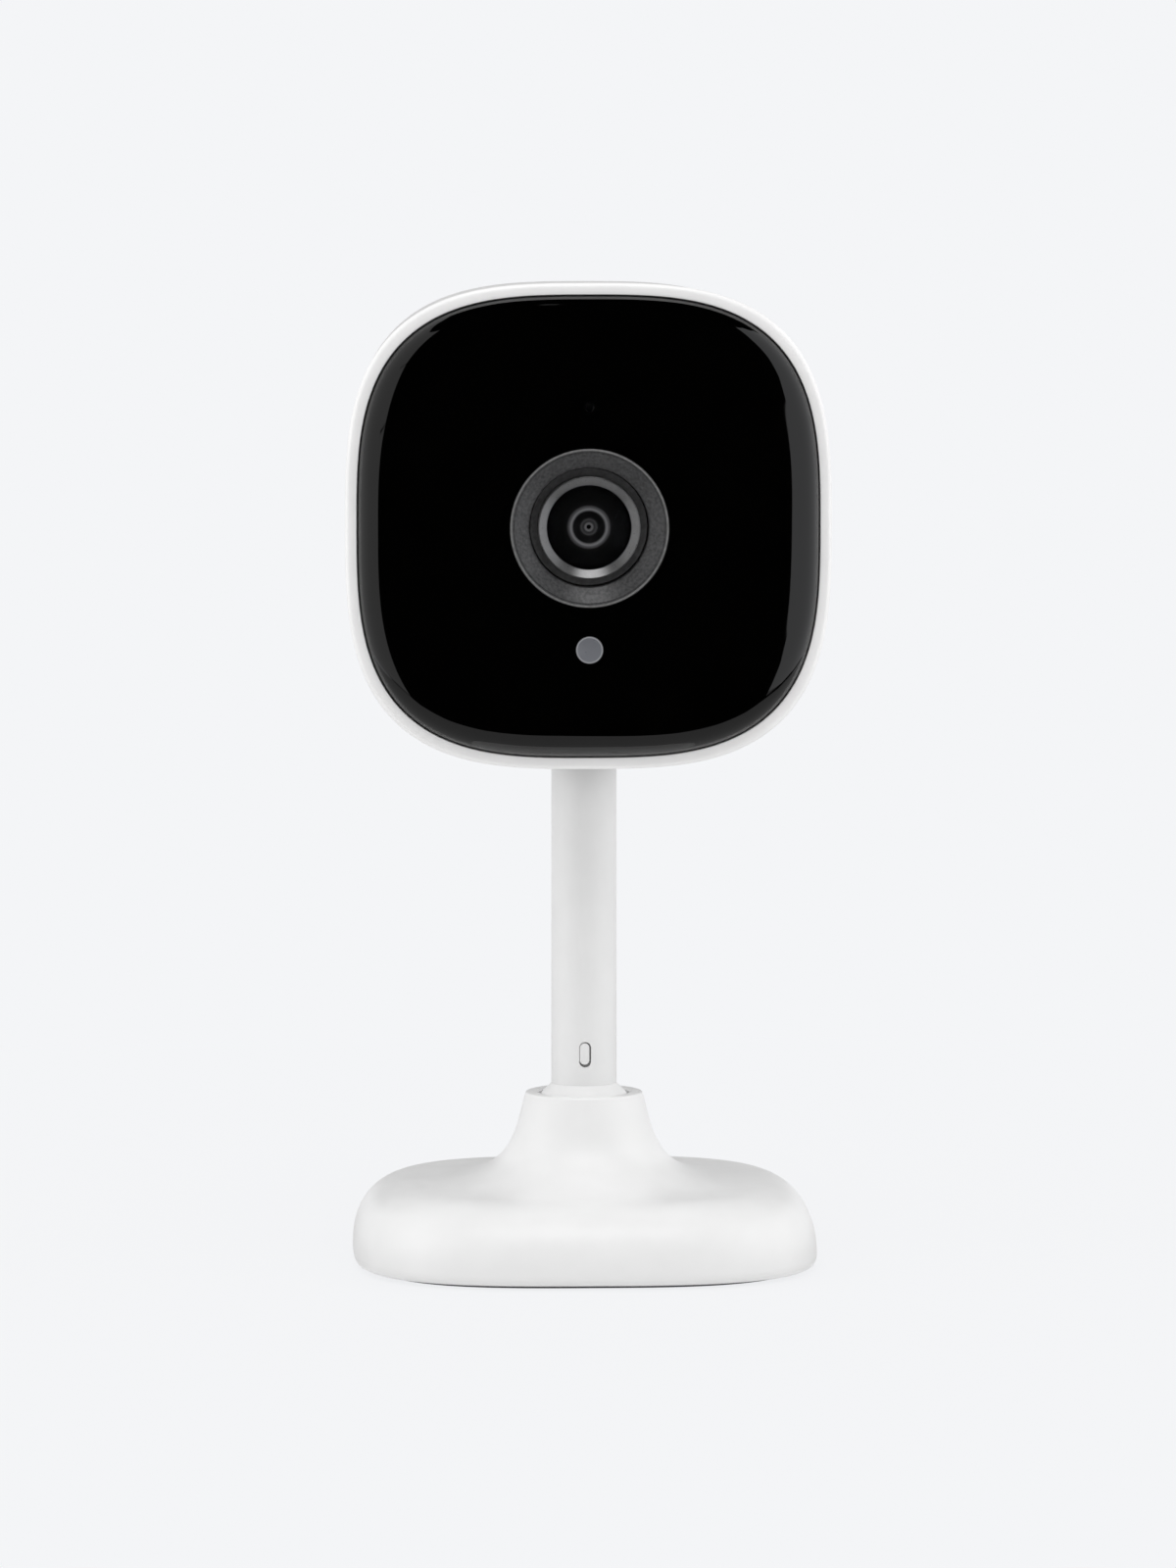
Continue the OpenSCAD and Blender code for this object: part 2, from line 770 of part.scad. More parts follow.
module card_socket() {
    x = board_half_w - card_l / 2;
    color("silver")
    at_lens() difference() {
        block_y(card_l, card_w, board_back_y, board_back_y + card_h, x, card_z);
        block_y(card_l, card_slot_w, card_slot_y, card_slot_y + card_slot_t, x + 1, card_z);
    }
}

// The strip lies under the shell's top, as high as its ends allow
module antenna() {
    side = shell_wall + draft_inset(antenna_back_y);
    share = antenna_w / (head_w - 2 * side);
    top = (head_h / 2 - side) * pow(1 - pow(share, head_squareness), 1 / head_squareness);
    z = top - antenna_t / 2 - slip_gap;
    color("goldenrod")
    at_lens() block_y(antenna_w, antenna_t, antenna_face_y, antenna_back_y, 0, z);
}

// ---------------------------------------------------------------- light board

module led_board() {
    color("darkgreen")
    at_lens() difference() {
        rod_y(led_board_r, led_face_y, led_back_y);
        rod_y(led_board_hole_r, led_face_y - 1, led_back_y + 1);
        for (a = spacer_angles)
            let (p = round_lens(spacer_reach, a))
            rod_y(hole_r, led_face_y - 1, led_back_y + 1, p[0], p[1]);
    }
}

module board_spacers() {
    color("goldenrod")
    at_lens() for (a = spacer_angles)
        let (p = round_lens(spacer_reach, a))
        difference() {
            rod_y(spacer_r, led_back_y, board_face_y, p[0], p[1]);
            rod_y(pilot_r, led_back_y - 1, board_face_y - 2, p[0], p[1]);
        }
}

module led_board_screws() {
    color("silver")
    at_lens() for (a = spacer_angles) screw_y(led_face_y, 5, round_lens(spacer_reach, a));
}

module ir_leds() {
    color("whitesmoke")
    at_lens() for (a = ir_led_angles)
        let (p = round_lens(ir_led_reach, a))
        union() {
            block_y(ir_led_side, ir_led_side, led_face_y - ir_led_h / 2, led_face_y, p[0], p[1]);
            rod_y(ir_led_side / 2 - 0.3, led_face_y - ir_led_h, led_face_y - ir_led_h / 2, p[0], p[1]);
        }
}

module status_light_pipe() {
    r = status_d / 2;
    color("silver")
    at_lens() union() {
        rod_y(r, face_y, led_face_y - 0.7, 0, -status_drop);
        rod_y(r + 0.6, window_back_y, window_back_y + 0.6, 0, -status_drop);
    }
}

module status_led() {
    color("lightblue")
    at_lens() block_y(1.6, 1, led_face_y - 0.6, led_face_y, 0, -status_drop);
}

module light_sensor() {
    color("black")
    at_lens() block_y(1.6, 1.6, led_face_y - 0.7, led_face_y, 3.6, -status_drop);
}

module microphone() {
    color("silver")
    at_lens() block_y(3.5, 2.6, led_face_y - 1, led_face_y, 0, mic_rise);
}

module mic_boot() {
    color("black")
    at_lens() difference() {
        rod_y(2.3, window_back_y, led_face_y - 1, 0, mic_rise);
        rod_y(mic_hole_d / 2, window_back_y - 1, led_face_y, 0, mic_rise);
    }
}

// ---------------------------------------------------------------- speaker and rear ports

module speaker() {
    y1 = back_in_y - gasket_t;
    r = speaker_d / 2;
    color("darkgray")
    at_lens() translate([0, 0, speaker_z]) turned_y([
        [0, y1 - speaker_t], [r * 0.6, y1 - speaker_t], [r * 0.6, y1 - speaker_t / 2],
        [r, y1 - speaker_t / 2], [r, y1], [r - gasket_w, y1], [r * 0.45, y1 - 1.4], [0, y1 - 0.8]
    ]);
}

module speaker_gasket() {
    y0 = back_in_y - gasket_t;
    color("black")
    at_lens() difference() {
        rod_y(speaker_d / 2, y0, back_in_y, 0, speaker_z);
        rod_y(speaker_d / 2 - gasket_w, y0 - 1, back_in_y + 1, 0, speaker_z);
    }
}

module port_board() {
    color("darkgreen")
    at_lens() difference() {
        intersection() {
            translate([0, port_face_y, 0]) rotate([90, 0, 0]) linear_extrude(small_board_t)
                polygon(squircle(port_half_w, port_half_h, head_squareness));
            translate([port_low_x, port_back_y - 1, port_low_z])
                cube([port_high_x - port_low_x, small_board_t + 2, port_high_z - port_low_z]);
        }
        for (p = port_bosses) rod_y(hole_r, port_back_y - 1, port_face_y + 1, p[0], p[1]);
    }
}

module port_board_screws() {
    color("silver")
    at_lens() for (p = port_bosses) screw_y(port_back_y, 4.4, p);
}

module usb_socket() {
    y1 = back_y - usb_recess;
    color("silver")
    at_lens() translate([usb_x, 0, usb_z]) {
        difference() {
            round_slot_y(usb_w, usb_h, port_face_y, y1);
            round_slot_y(usb_w - 2 * usb_wall, usb_h - 2 * usb_wall, port_face_y + 1, y1 + 1);
        }
        block_y(usb_w - 2.6, 0.7, port_face_y + 1 - overlap, y1 - 0.8);
    }
}

module reset_switch() {
    color("dimgray")
    at_lens() union() {
        block_y(4.4, 4.4, port_face_y, port_face_y + reset_switch_h - 0.5, reset_x, reset_z);
        rod_y(1, port_face_y, port_face_y + reset_switch_h, reset_x, reset_z);
    }
}

module reset_button() {
    flange_y = reset_guide_y - 0.2 - reset_flange_t;
    color("white")
    at_lens() union() {
        rod_y(reset_flange_r, flange_y, flange_y + reset_flange_t, reset_x, reset_z);
        rod_y(1, port_face_y + reset_switch_h + reset_travel + 0.05, flange_y + overlap, reset_x, reset_z);
        rod_y(reset_pin_r, flange_y, back_y - 0.4, reset_x, reset_z);
    }
}

// ---------------------------------------------------------------- tilt hinge

// Side outline of the shell's inside below the lens axis, with its rounded rear corner
module inside_outline() {
    low = -head_h / 2 + shell_wall + bracket_gap + tilt_drop;
    rear = back_in_y - bracket_gap;
    r = rear_edge_r - shell_wall;
    corner = [
        for (i = [0 : 8])
            let (a = -90 + 90 * i / 8, y = rear - r + r * cos(a))
            [y, low + draft_inset(y) + r + r * sin(a)]
    ];
    polygon(concat([[face_y, low], [rim_y, low]], corner, [[rear, tilt_drop], [face_y, tilt_drop]]));
}

module hinge_bracket() {
    color("dimgray")
    difference() {
        union() {
            at_tilt() side_slab(bracket_w) intersection() {
                sweep_outline(bracket_wall);
                inside_outline();
            }
            at_lens() translate([-tab_w / 2, tab_y, board_low_z - 1])
                cube([tab_w, tab_t, tab_top_z - board_low_z + 1]);
        }
        at_tilt() side_slab(slot_w) sweep_outline(0);
        at_tilt() rod_x(pin_r + turn_gap, -bracket_w, bracket_w);
        at_lens() for (side = [-1, 1])
            rod_y(hole_r, tab_y - 1, tab_y + tab_t + 1, side * tab_boss_x, tab_boss_z);
    }
}

module bracket_screws() {
    color("silver")
    at_lens() for (side = [-1, 1]) screw_y(tab_y, 6, [side * tab_boss_x, tab_boss_z]);
}

module hinge_pin() {
    color("silver")
    at_tilt() union() {
        rod_x(pin_r, -bracket_w / 2 - nut_h, bracket_w / 2 + overlap);
        rod_x(pin_head_r, bracket_w / 2, bracket_w / 2 + pin_head_h);
    }
}

module hinge_nut() {
    color("silver")
    at_tilt() difference() {
        translate([-bracket_w / 2 - nut_h, 0, 0]) rotate([0, 90, 0])
            cylinder(h = nut_h, r = nut_flats_d / 2 / cos(30), $fn = 6);
        rod_x(pin_r + turn_gap, -bracket_w, 0);
    }
}

module friction_washers() {
    inner_x = knuckle_w / 2 + turn_gap;
    color("ivory")
    at_tilt() for (turn = [0, 180]) rotate(turn)
        difference() {
            rod_x(knuckle_d / 2 - 0.3, inner_x, slot_w / 2);
            rod_x(pin_r + turn_gap, 0, slot_w);
        }
}

module stem_knuckle() {
    color("white")
    difference() {
        union() {
            at_tilt() rod_x(knuckle_d / 2, -knuckle_w / 2, knuckle_w / 2);
            intersection() {
                rod_z(stem_r, tube_top, tilt_height);
                translate([-knuckle_w / 2, -stem_r, tube_top]) cube([knuckle_w, stem_d, tilt_height]);
            }
            rod_z(spigot_r, tube_top - tail_l, tube_top + overlap);
        }
        at_tilt() rod_x(pin_r + turn_gap, -knuckle_w, knuckle_w);
    }
}

// ---------------------------------------------------------------- stem and swivel

module stem_tube() {
    color("white")
    difference() {
        rod_z(stem_r, collar_top, tube_top);
        rod_z(tube_in_r, collar_top - 1, tube_top + 1);
        translate([0, 0, latch_z]) upright_slot_y(latch_w, latch_h, -stem_r - 1, 0);
    }
}

// Tongue with a pill-shaped bump that fills the stem's window; it bends in about its root
module latch_tongue() {
    bump_w = latch_w - 2 * bump_play;
    bump_h = latch_h - bump_play - bump_drop_room;
    bump_z = latch_z + (bump_drop_room - bump_play) / 2;
    mid_y = tongue_y + tongue_t / 2;
    color("white")
    union() {
        translate([-tongue_w / 2, tongue_y, tongue_low_z])
            cube([tongue_w, tongue_t, tongue_root_z - tongue_low_z]);
        rod_x(tongue_t / 2, -tongue_w / 2, tongue_w / 2, mid_y, tongue_root_z);
        translate([0, 0, bump_z]) upright_slot_y(bump_w, bump_h, -stem_r + turn_gap, tongue_y + overlap);
    }
}

module swivel_collar() {
    color("white")
    difference() {
        union() {
            rotate_extrude() polygon([
                [0, journal_end_z], [journal_r, journal_end_z], [journal_r, mouth_z + turn_gap],
                [flare_r, mouth_z + turn_gap], [flare_r, flare_z], [stem_r, collar_top], [0, collar_top]
            ]);
            rod_z(spigot_r, collar_top - overlap, collar_top + spigot_l);
        }
        rod_z(spigot_bore_r, collar_top + 0.8, collar_top + spigot_l + 1);
        translate([-tongue_w / 2 - tongue_gap, -spigot_r - 1, tongue_low_z - pass_gap])
            cube([tongue_w + 2 * tongue_gap, spigot_r + 1, tongue_top_z - tongue_low_z + 2 * pass_gap]);
        rod_z(swivel_screw_r + turn_gap, journal_end_z - 1, journal_end_z + swivel_screw_l + 0.5);
    }
}

module swivel_washer() {
    color("silver")
    difference() {
        rod_z(swivel_washer_r, swivel_washer_z, journal_end_z);
        rod_z(swivel_screw_r + turn_gap, swivel_washer_z - 1, journal_end_z + 1);
    }
}

module swivel_screw() {
    color("silver")
    union() {
        rod_z(swivel_head_r, swivel_washer_z - swivel_head_h, swivel_washer_z);
        rod_z(swivel_screw_r, swivel_washer_z - overlap, journal_end_z + swivel_screw_l);
    }
}

module wave_washer() {
    color("silver")
    difference() {
        rod_z(swivel_washer_r - 0.3, roof_z - wave_t, roof_z);
        rod_z(journal_r + pass_gap, roof_z - wave_t - 1, roof_z + 1);
    }
}

// ---------------------------------------------------------------- base

// Level slab with the base's outline, of half width r
module base_slab(r, z0, z1) {
    translate([0, 0, z0]) linear_extrude(z1 - z0) polygon(squircle(r, r, base_squareness));
}

module at_weight_screws() {
    for (a = [45 : 90 : 315]) rotate(a) translate([weight_screw_reach, 0, 0]) children();
}

module at_wall_screws() {
    for (side = [-1, 1]) translate([side * wall_screw_spacing / 2, 0, 0]) children();
}

module base_cover() {
    sweep = [
        [shoulder_r, shoulder_h],
        [neck_r + 1.8, shoulder_h + 0.2],
        [neck_r + 1.4, shoulder_h + 4.9],
        [neck_r, neck_top - neck_edge_r]
    ];
    neck = [for (i = [12 : -1 : 1]) let (p = curve_point(sweep, i / 12)) base_ring(p[0], p[1])];
    shoulder = [
        for (i = [10 : -1 : 0])
            let (a = 90 * i / 10, e = 2 / shoulder_power)
            let (out = pow(cos(a), e), up = pow(sin(a), e))
            base_ring(shoulder_r + shoulder_run * out, widest_z + (shoulder_h - widest_z) * up)
    ];
    foot = [base_ring(base_r - 0.1, foot_edge_z + 0.4), base_ring(base_r - 0.4, foot_edge_z)];
    inside = [
        base_ring(seat_r, foot_edge_z),
        base_ring(seat_r, seat_top),
        base_ring(cavity_r, seat_top),
        base_ring(cavity_r, roof_z)
    ];
    color("white")
    difference() {
        skin(concat([base_ring(neck_r - neck_edge_r, neck_top)], neck, shoulder, foot, inside));
        rod_z(journal_r + turn_gap, 0, neck_top + 1);
        rod_z(mouth_r, mouth_z, neck_top + 1);
        at_weight_screws() rod_z(pilot_r, 0, roof_z + 1.3);
    }
}

module base_weight() {
    color("dimgray")
    difference() {
        base_slab(weight_r, weight_z, roof_z);
        rod_z(weight_hole_r, weight_z - 1, roof_z + 1);
        at_wall_screws() rod_z(wall_head_r, weight_z - 1, roof_z + 1);
        at_weight_screws() rod_z(hole_r, weight_z - 1, roof_z + 1);
    }
}

module weight_screws() {
    color("silver")
    at_weight_screws() {
        rod_z(screw_head_r, weight_z - screw_head_h, weight_z);
        rod_z(screw_r, weight_z - overlap, roof_z + 1.1);
    }
}

module base_plate() {
    color("gainsboro")
    difference() {
        union() {
            base_slab(plate_r, plate_z, plate_top);
            for (a = [0 : 90 : 270]) rotate(a)
                translate([cavity_r - slip_gap - clip_t, -clip_w / 2, plate_top - overlap])
                cube([clip_t, clip_w, clip_h + overlap]);
        }
        at_wall_screws() rod_z(wall_screw_d / 2, plate_z - 1, plate_top + 1);
    }
}

module foot_pad() {
    color("darkgray")
    difference() {
        base_slab(pad_r, 0, pad_t);
        at_wall_screws() rod_z(wall_screw_d / 2 + slip_gap, -1, pad_t + 1);
    }
}

// ---------------------------------------------------------------- nodes

head_shell();
front_window();
lens_ring();
lens_barrel();
front_glass();
middle_glass();
rear_glass();
aperture_stop();
lens_retainer();
lens_holder();
holder_screws();
ir_cut_frame();
ir_cut_coil();
ir_cut_carriage();
ir_filter();
clear_filter();
image_sensor();
main_board();
main_board_screws();
processor();
thermal_pad();
heat_spreader();
wifi_shield();
antenna();
card_socket();
led_board();
board_spacers();
led_board_screws();
ir_leds();
status_light_pipe();
status_led();
light_sensor();
microphone();
mic_boot();
speaker();
speaker_gasket();
port_board();
port_board_screws();
usb_socket();
reset_switch();
reset_button();
hinge_bracket();
bracket_screws();
hinge_pin();
hinge_nut();
friction_washers();
stem_knuckle();
stem_tube();
latch_tongue();
swivel_collar();
swivel_washer();
swivel_screw();
wave_washer();
base_cover();
base_weight();
weight_screws();
base_plate();
foot_pad();
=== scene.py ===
"""Looks of an indoor security camera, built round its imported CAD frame.

Shapes are written in millimetres in the CAD's own frame and scaled to metres when a mesh is made:
the base stands on z = 0, the stem runs up the Z axis and the lens looks along -Y.
The floor, lamps and camera are in metres.
"""

import json
import math

import bmesh
import bpy
from mathutils import Matrix, Vector


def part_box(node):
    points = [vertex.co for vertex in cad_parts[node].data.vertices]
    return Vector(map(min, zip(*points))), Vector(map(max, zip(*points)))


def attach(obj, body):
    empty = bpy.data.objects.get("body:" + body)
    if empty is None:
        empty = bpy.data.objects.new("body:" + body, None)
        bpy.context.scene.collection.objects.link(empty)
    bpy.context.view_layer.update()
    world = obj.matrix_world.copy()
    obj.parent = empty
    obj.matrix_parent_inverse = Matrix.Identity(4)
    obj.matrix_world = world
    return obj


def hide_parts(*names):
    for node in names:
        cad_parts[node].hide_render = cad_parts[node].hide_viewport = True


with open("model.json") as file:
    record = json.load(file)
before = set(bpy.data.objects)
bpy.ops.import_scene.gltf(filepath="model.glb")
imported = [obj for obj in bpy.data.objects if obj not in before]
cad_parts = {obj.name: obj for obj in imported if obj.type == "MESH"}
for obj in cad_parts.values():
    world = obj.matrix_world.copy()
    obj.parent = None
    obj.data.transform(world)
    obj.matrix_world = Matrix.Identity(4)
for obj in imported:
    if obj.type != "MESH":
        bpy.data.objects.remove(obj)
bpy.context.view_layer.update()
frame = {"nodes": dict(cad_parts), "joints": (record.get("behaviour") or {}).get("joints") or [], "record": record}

MM = 0.001


def box_mm(node):
    """Lowest and highest corner of a CAD node, in millimetres."""
    low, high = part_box(node)
    return low / MM, high / MM


def middle(node):
    """Middle of a CAD node as seen from the front, as (x, z)."""
    low, high = box_mm(node)
    return (low.x + high.x) / 2, (low.z + high.z) / 2


# ------------------------------------------------------------------ sizes, from the frame
# An EDGE is the radius of a rounded edge; a SQUARENESS or POWER is that of a superellipse.

SHELL_LOW, SHELL_HIGH = box_mm("head_shell")
WINDOW_LOW, WINDOW_HIGH = box_mm("front_window")
RING_LOW, RING_HIGH = box_mm("lens_ring")
BARREL_LOW, BARREL_HIGH = box_mm("lens_barrel")
TUBE_LOW, TUBE_HIGH = box_mm("stem_tube")
KNUCKLE_LOW, KNUCKLE_HIGH = box_mm("stem_knuckle")
TONGUE_LOW, TONGUE_HIGH = box_mm("latch_tongue")
COLLAR_LOW, COLLAR_HIGH = box_mm("swivel_collar")
COVER_LOW, COVER_HIGH = box_mm("base_cover")
USB_LOW, USB_HIGH = box_mm("usb_socket")

LENS_Z = middle("lens_barrel")[1]
TILT_Z = next(j for j in frame["joints"] if j["name"] == "head_tilt")["pos_m"][2] / MM

# Head
HALF_W = (SHELL_HIGH.x - SHELL_LOW.x) / 2
HALF_H = (SHELL_HIGH.z - SHELL_LOW.z) / 2
HEAD_SQUARENESS = 3.1
FACE_Y = WINDOW_LOW.y
LEDGE_Y = WINDOW_HIGH.y
RIM_Y = SHELL_LOW.y
BACK_Y = SHELL_HIGH.y
SHELL_WALL = 1.8
BACK_IN_Y = BACK_Y - SHELL_WALL
RIM_W = 1.4
RIM_OUTER_EDGE = 0.5
RIM_INNER_EDGE = 0.12
REAR_EDGE = 9.0
SIDE_DRAFT = math.radians(2.1)

# Openings of the head: the stem's slot, and the holes in the back and the side
STEM_SLOT_HALF = 4.4
STEM_SLOT_R = 4.6
TILT_DOWN = 25
TILT_UP = 90
USB_MARGIN = 0.22
RESET_HOLE_R = 1.65
GRILLE_HOLE_R = 0.65
GRILLE_RINGS = ((0, 1), (2.6, 6), (5.2, 12))    # radius and number of holes
CARD_SLOT_W = 1.2
CARD_SLOT_H = 11.4
CARD_SOCKET_WALL = 0.35

# Window
WINDOW_GAP = 0.05
WINDOW_T = 1.8
WINDOW_EDGE = 3.6
WINDOW_BEVEL = 0.03
RING_FLANGE = 1.1
RING_R = (RING_HIGH.x - RING_LOW.x) / 2 - RING_FLANGE
RING_BORE_R = 7.1
STATUS_R = 1.6
STATUS_Z = middle("status_light_pipe")[1]
MIC_Z = middle("mic_boot")[1]
MIC_HOLE_R = 0.5

# Stem
STEM_R = (TUBE_HIGH.x - TUBE_LOW.x) / 2
STEM_WALL = 0.9
SPIGOT_R = STEM_R - STEM_WALL - 0.1
FLARE_R = (COLLAR_HIGH.x - COLLAR_LOW.x) / 2
FLARE_H = 1.3
JOURNAL_R = 5.0
PIN_R = 1.5
TONGUE_ROOT_R = 0.4
TONGUE_ROOT_Z = TONGUE_HIGH.z - TONGUE_ROOT_R
LATCH_Z = TONGUE_ROOT_Z - 5
LATCH_WINDOW_W = 1.42
LATCH_WINDOW_H = 3.1

# Base
BASE_R = (COVER_HIGH.x - COVER_LOW.x) / 2
BASE_SQUARENESS = 3.1
NECK_R = 7.15
NECK_TOP = COVER_HIGH.z
SHOULDER_H = 9.6
SHOULDER_RUN = 8.5
SHOULDER_POWER = 2.4
WIDEST_Z = 1.2

# Meshes
LOOP_POINTS = 240
TURN_POINTS = 192
WELD = 1e-4
AXIS_R = 0.02       # turned solids end in a tiny flat face instead of a point
TIP_R = 0.002       # and domes in a smaller one
SHARP_ANGLE = math.radians(32)


# ------------------------------------------------------------------ mesh helpers

def finish_mesh(name, bm):
    """Object from a bmesh in millimetres: normals outwards, smooth faces, sharp edges kept sharp."""
    bmesh.ops.remove_doubles(bm, verts=bm.verts, dist=WELD)
    bmesh.ops.recalc_face_normals(bm, faces=bm.faces)
    mesh = bpy.data.meshes.new(name)
    bm.to_mesh(mesh)
    bm.free()
    mesh.transform(Matrix.Scale(MM, 4))
    piece = bpy.data.objects.new(name, mesh)
    bpy.context.scene.collection.objects.link(piece)
    shade(piece)
    return piece


def shade(piece):
    """Smooth shading, with every edge sharper than SHARP_ANGLE marked."""
    bm = bmesh.new()
    bm.from_mesh(piece.data)
    for face in bm.faces:
        face.smooth = True
    for edge in bm.edges:
        edge.smooth = len(edge.link_faces) == 2 and edge.calc_face_angle(0) < SHARP_ANGLE
    bm.to_mesh(piece.data)
    bm.free()


def add_loft(bm, loops, closed=False):
    """Skin over loops of equally many points, closed into a tube ring or with flat ends."""
    rows = [[bm.verts.new(p) for p in loop] for loop in loops]
    count = len(rows[0])
    pairs = list(zip(rows, rows[1:] + rows[:1])) if closed else list(zip(rows, rows[1:]))
    for one, two in pairs:
        for i in range(count):
            k = (i + 1) % count
            bm.faces.new((one[i], one[k], two[k], two[i]))
    if not closed:
        bm.faces.new(rows[0][::-1])
        bm.faces.new(rows[-1])


def loft(name, loops, closed=False):
    bm = bmesh.new()
    add_loft(bm, loops, closed)
    return finish_mesh(name, bm)


def placed(along, depth, u, v):
    """Point at a depth along the X, Y or Z axis and at u and v along the other two."""
    return {"x": (depth, u, v), "y": (u, depth, v), "z": (u, v, depth)}[along]


def circle(r, count):
    turns = [2 * math.pi * i / count for i in range(count)]
    return [(r * math.cos(a), r * math.sin(a)) for a in turns]


def turned_loops(profile, centre, along, count):
    """A circle round an axis for each (radius, depth) of a profile."""
    return [[placed(along, depth, centre[0] + u, centre[1] + v) for u, v in circle(r, count)]
            for r, depth in profile]


def turned(name, profile, centre=(0, 0), along="y"):
    """Ring turned about an axis, from a closed profile of (radius, depth)."""
    return loft(name, turned_loops(profile, centre, along, TURN_POINTS), closed=True)


def add_rod(bm, profile, centre=(0, 0), along="y", count=TURN_POINTS):
    """Solid turned about an axis, from an open profile of (radius, depth) whose ends are flat."""
    add_loft(bm, turned_loops(profile, centre, along, count))


def rod(name, profile, centre=(0, 0), along="y", count=TURN_POINTS):
    bm = bmesh.new()
    add_rod(bm, profile, centre, along, count)
    return finish_mesh(name, bm)


def add_prism(bm, outline, low, high, along="y"):
    """Solid between two levels of an axis, over an outline on the other two."""
    add_loft(bm, [[placed(along, depth, u, v) for u, v in outline] for depth in (low, high)])


def quarter_turn(steps):
    """Angles from nothing to a right angle, in equal steps."""
    return [math.pi / 2 * i / steps for i in range(steps + 1)]


def arc(cx, cy, r, start, end, steps):
    """Points of an arc in a profile plane, angles in degrees."""
    angles = [math.radians(start + (end - start) * i / steps) for i in range(steps + 1)]
    return [(cx + r * math.cos(a), cy + r * math.sin(a)) for a in angles]


def slot_outline(w, h, cx, cz):
    """Slot with round ends, lying along its longer side."""
    r, steps = min(w, h) / 2, 12
    points = []
    for k, start in ((1, -90), (-1, 90)) if w >= h else ((1, 0), (-1, 180)):
        ox, oz = (k * (w / 2 - r), 0) if w >= h else (0, k * (h / 2 - r))
        points += arc(cx + ox, cz + oz, r, start, start + 180, steps)
    return points


def add_slot(bm, w, h, centre, levels):
    """Slot-shaped solid along Y, larger all round by a margin at each of its (depth, margin) levels."""
    add_loft(bm, [[(x, depth, z) for x, z in slot_outline(w + 2 * margin, h + 2 * margin, *centre)]
                  for depth, margin in levels])


def superellipse(a, b, power):
    """Rounded square of half sizes a and b, with points at equal steps of direction."""
    points = []
    for c, s in circle(1, LOOP_POINTS):
        reach = (abs(c / a) ** power + abs(s / b) ** power) ** (-1 / power)
        points.append((reach * c, reach * s))
    return points


def head_loop(y, inset):
    """Upright outline of the head at depth y, moved in from its sides."""
    outline = superellipse(HALF_W - inset, HALF_H - inset, HEAD_SQUARENESS)
    return [(x, y, LENS_Z + z) for x, z in outline]


def shell_loop(y, inset):
    """Outline of the shell, whose sides draw in a little behind the rim."""
    return head_loop(y, inset + max(0, y - RIM_Y - RIM_OUTER_EDGE) * math.tan(SIDE_DRAFT))


def lens_loop(y, r):
    """Circle round the lens axis, with as many points as the head's outline."""
    return [(x, y, LENS_Z + z) for x, z in circle(r, LOOP_POINTS)]


def combine(piece, bm, operation):
    """Cuts the solids in bm from a piece, joins them on or keeps what both share."""
    tool = finish_mesh("tool", bm)
    modifier = piece.modifiers.new("tool", "BOOLEAN")
    modifier.operation = operation
    modifier.solver = "EXACT"
    modifier.use_self = True
    modifier.object = tool
    depsgraph = bpy.context.evaluated_depsgraph_get()
    mesh = bpy.data.meshes.new_from_object(piece.evaluated_get(depsgraph))
    piece.modifiers.clear()
    piece.data = mesh
    bpy.data.objects.remove(tool)
    shade(piece)


def reopened(piece):
    """The solids of a piece as a bmesh in millimetres; the piece itself is removed."""
    bm = bmesh.new()
    bm.from_mesh(piece.data)
    bmesh.ops.scale(bm, vec=(1 / MM,) * 3, verts=bm.verts)
    bpy.data.objects.remove(piece)
    return bm


def mark_faces(piece, axis_z, material_at):
    """Gives each face the material whose place in the piece's list is material_at(r, y).

    r is the face's distance from an axis along Y at the height axis_z.
    """
    for face in piece.data.polygons:
        centre = face.center / MM
        face.material_index = material_at(math.hypot(centre.x, centre.z - axis_z), centre.y)


# ------------------------------------------------------------------ materials

# Sockets of a Mix node that mixes colours, which share their names with its other sockets
MIX_FACTOR, MIX_ONE, MIX_TWO, MIX_RESULT = 0, 6, 7, 2

# Noise values lie mostly between these two
NOISE_LOW, NOISE_HIGH = 0.3, 0.7


def node_material(name):
    """New material with its nodes, links and shader."""
    material = bpy.data.materials.new(name)
    material.use_nodes = True
    nodes, links = material.node_tree.nodes, material.node_tree.links
    return material, nodes, links, nodes["Principled BSDF"]


def noise(nodes, links, size_mm, detail=3.0):
    """Noise texture with features of about size_mm, in the piece's own coordinates."""
    place = nodes.new("ShaderNodeTexCoord")
    texture = nodes.new("ShaderNodeTexNoise")
    texture.inputs["Scale"].default_value = 1 / (size_mm * MM)
    texture.inputs["Detail"].default_value = detail
    links.new(place.outputs["Object"], texture.inputs["Vector"])
    return texture.outputs["Fac"]


def ranged(nodes, links, value, low, high):
    """Noise mapped to low..high."""
    mapped = nodes.new("ShaderNodeMapRange")
    mapped.inputs["From Min"].default_value = NOISE_LOW
    mapped.inputs["From Max"].default_value = NOISE_HIGH
    mapped.inputs["To Min"].default_value = low
    mapped.inputs["To Max"].default_value = high
    links.new(value, mapped.inputs["Value"])
    return mapped.outputs["Result"]


def tint(nodes, links, factor, one, two):
    """Mix of two colours."""
    mix = nodes.new("ShaderNodeMix")
    mix.data_type = "RGBA"
    mix.inputs[MIX_ONE].default_value = (*one, 1)
    mix.inputs[MIX_TWO].default_value = (*two, 1)
    links.new(factor, mix.inputs[MIX_FACTOR])
    return mix.outputs[MIX_RESULT]


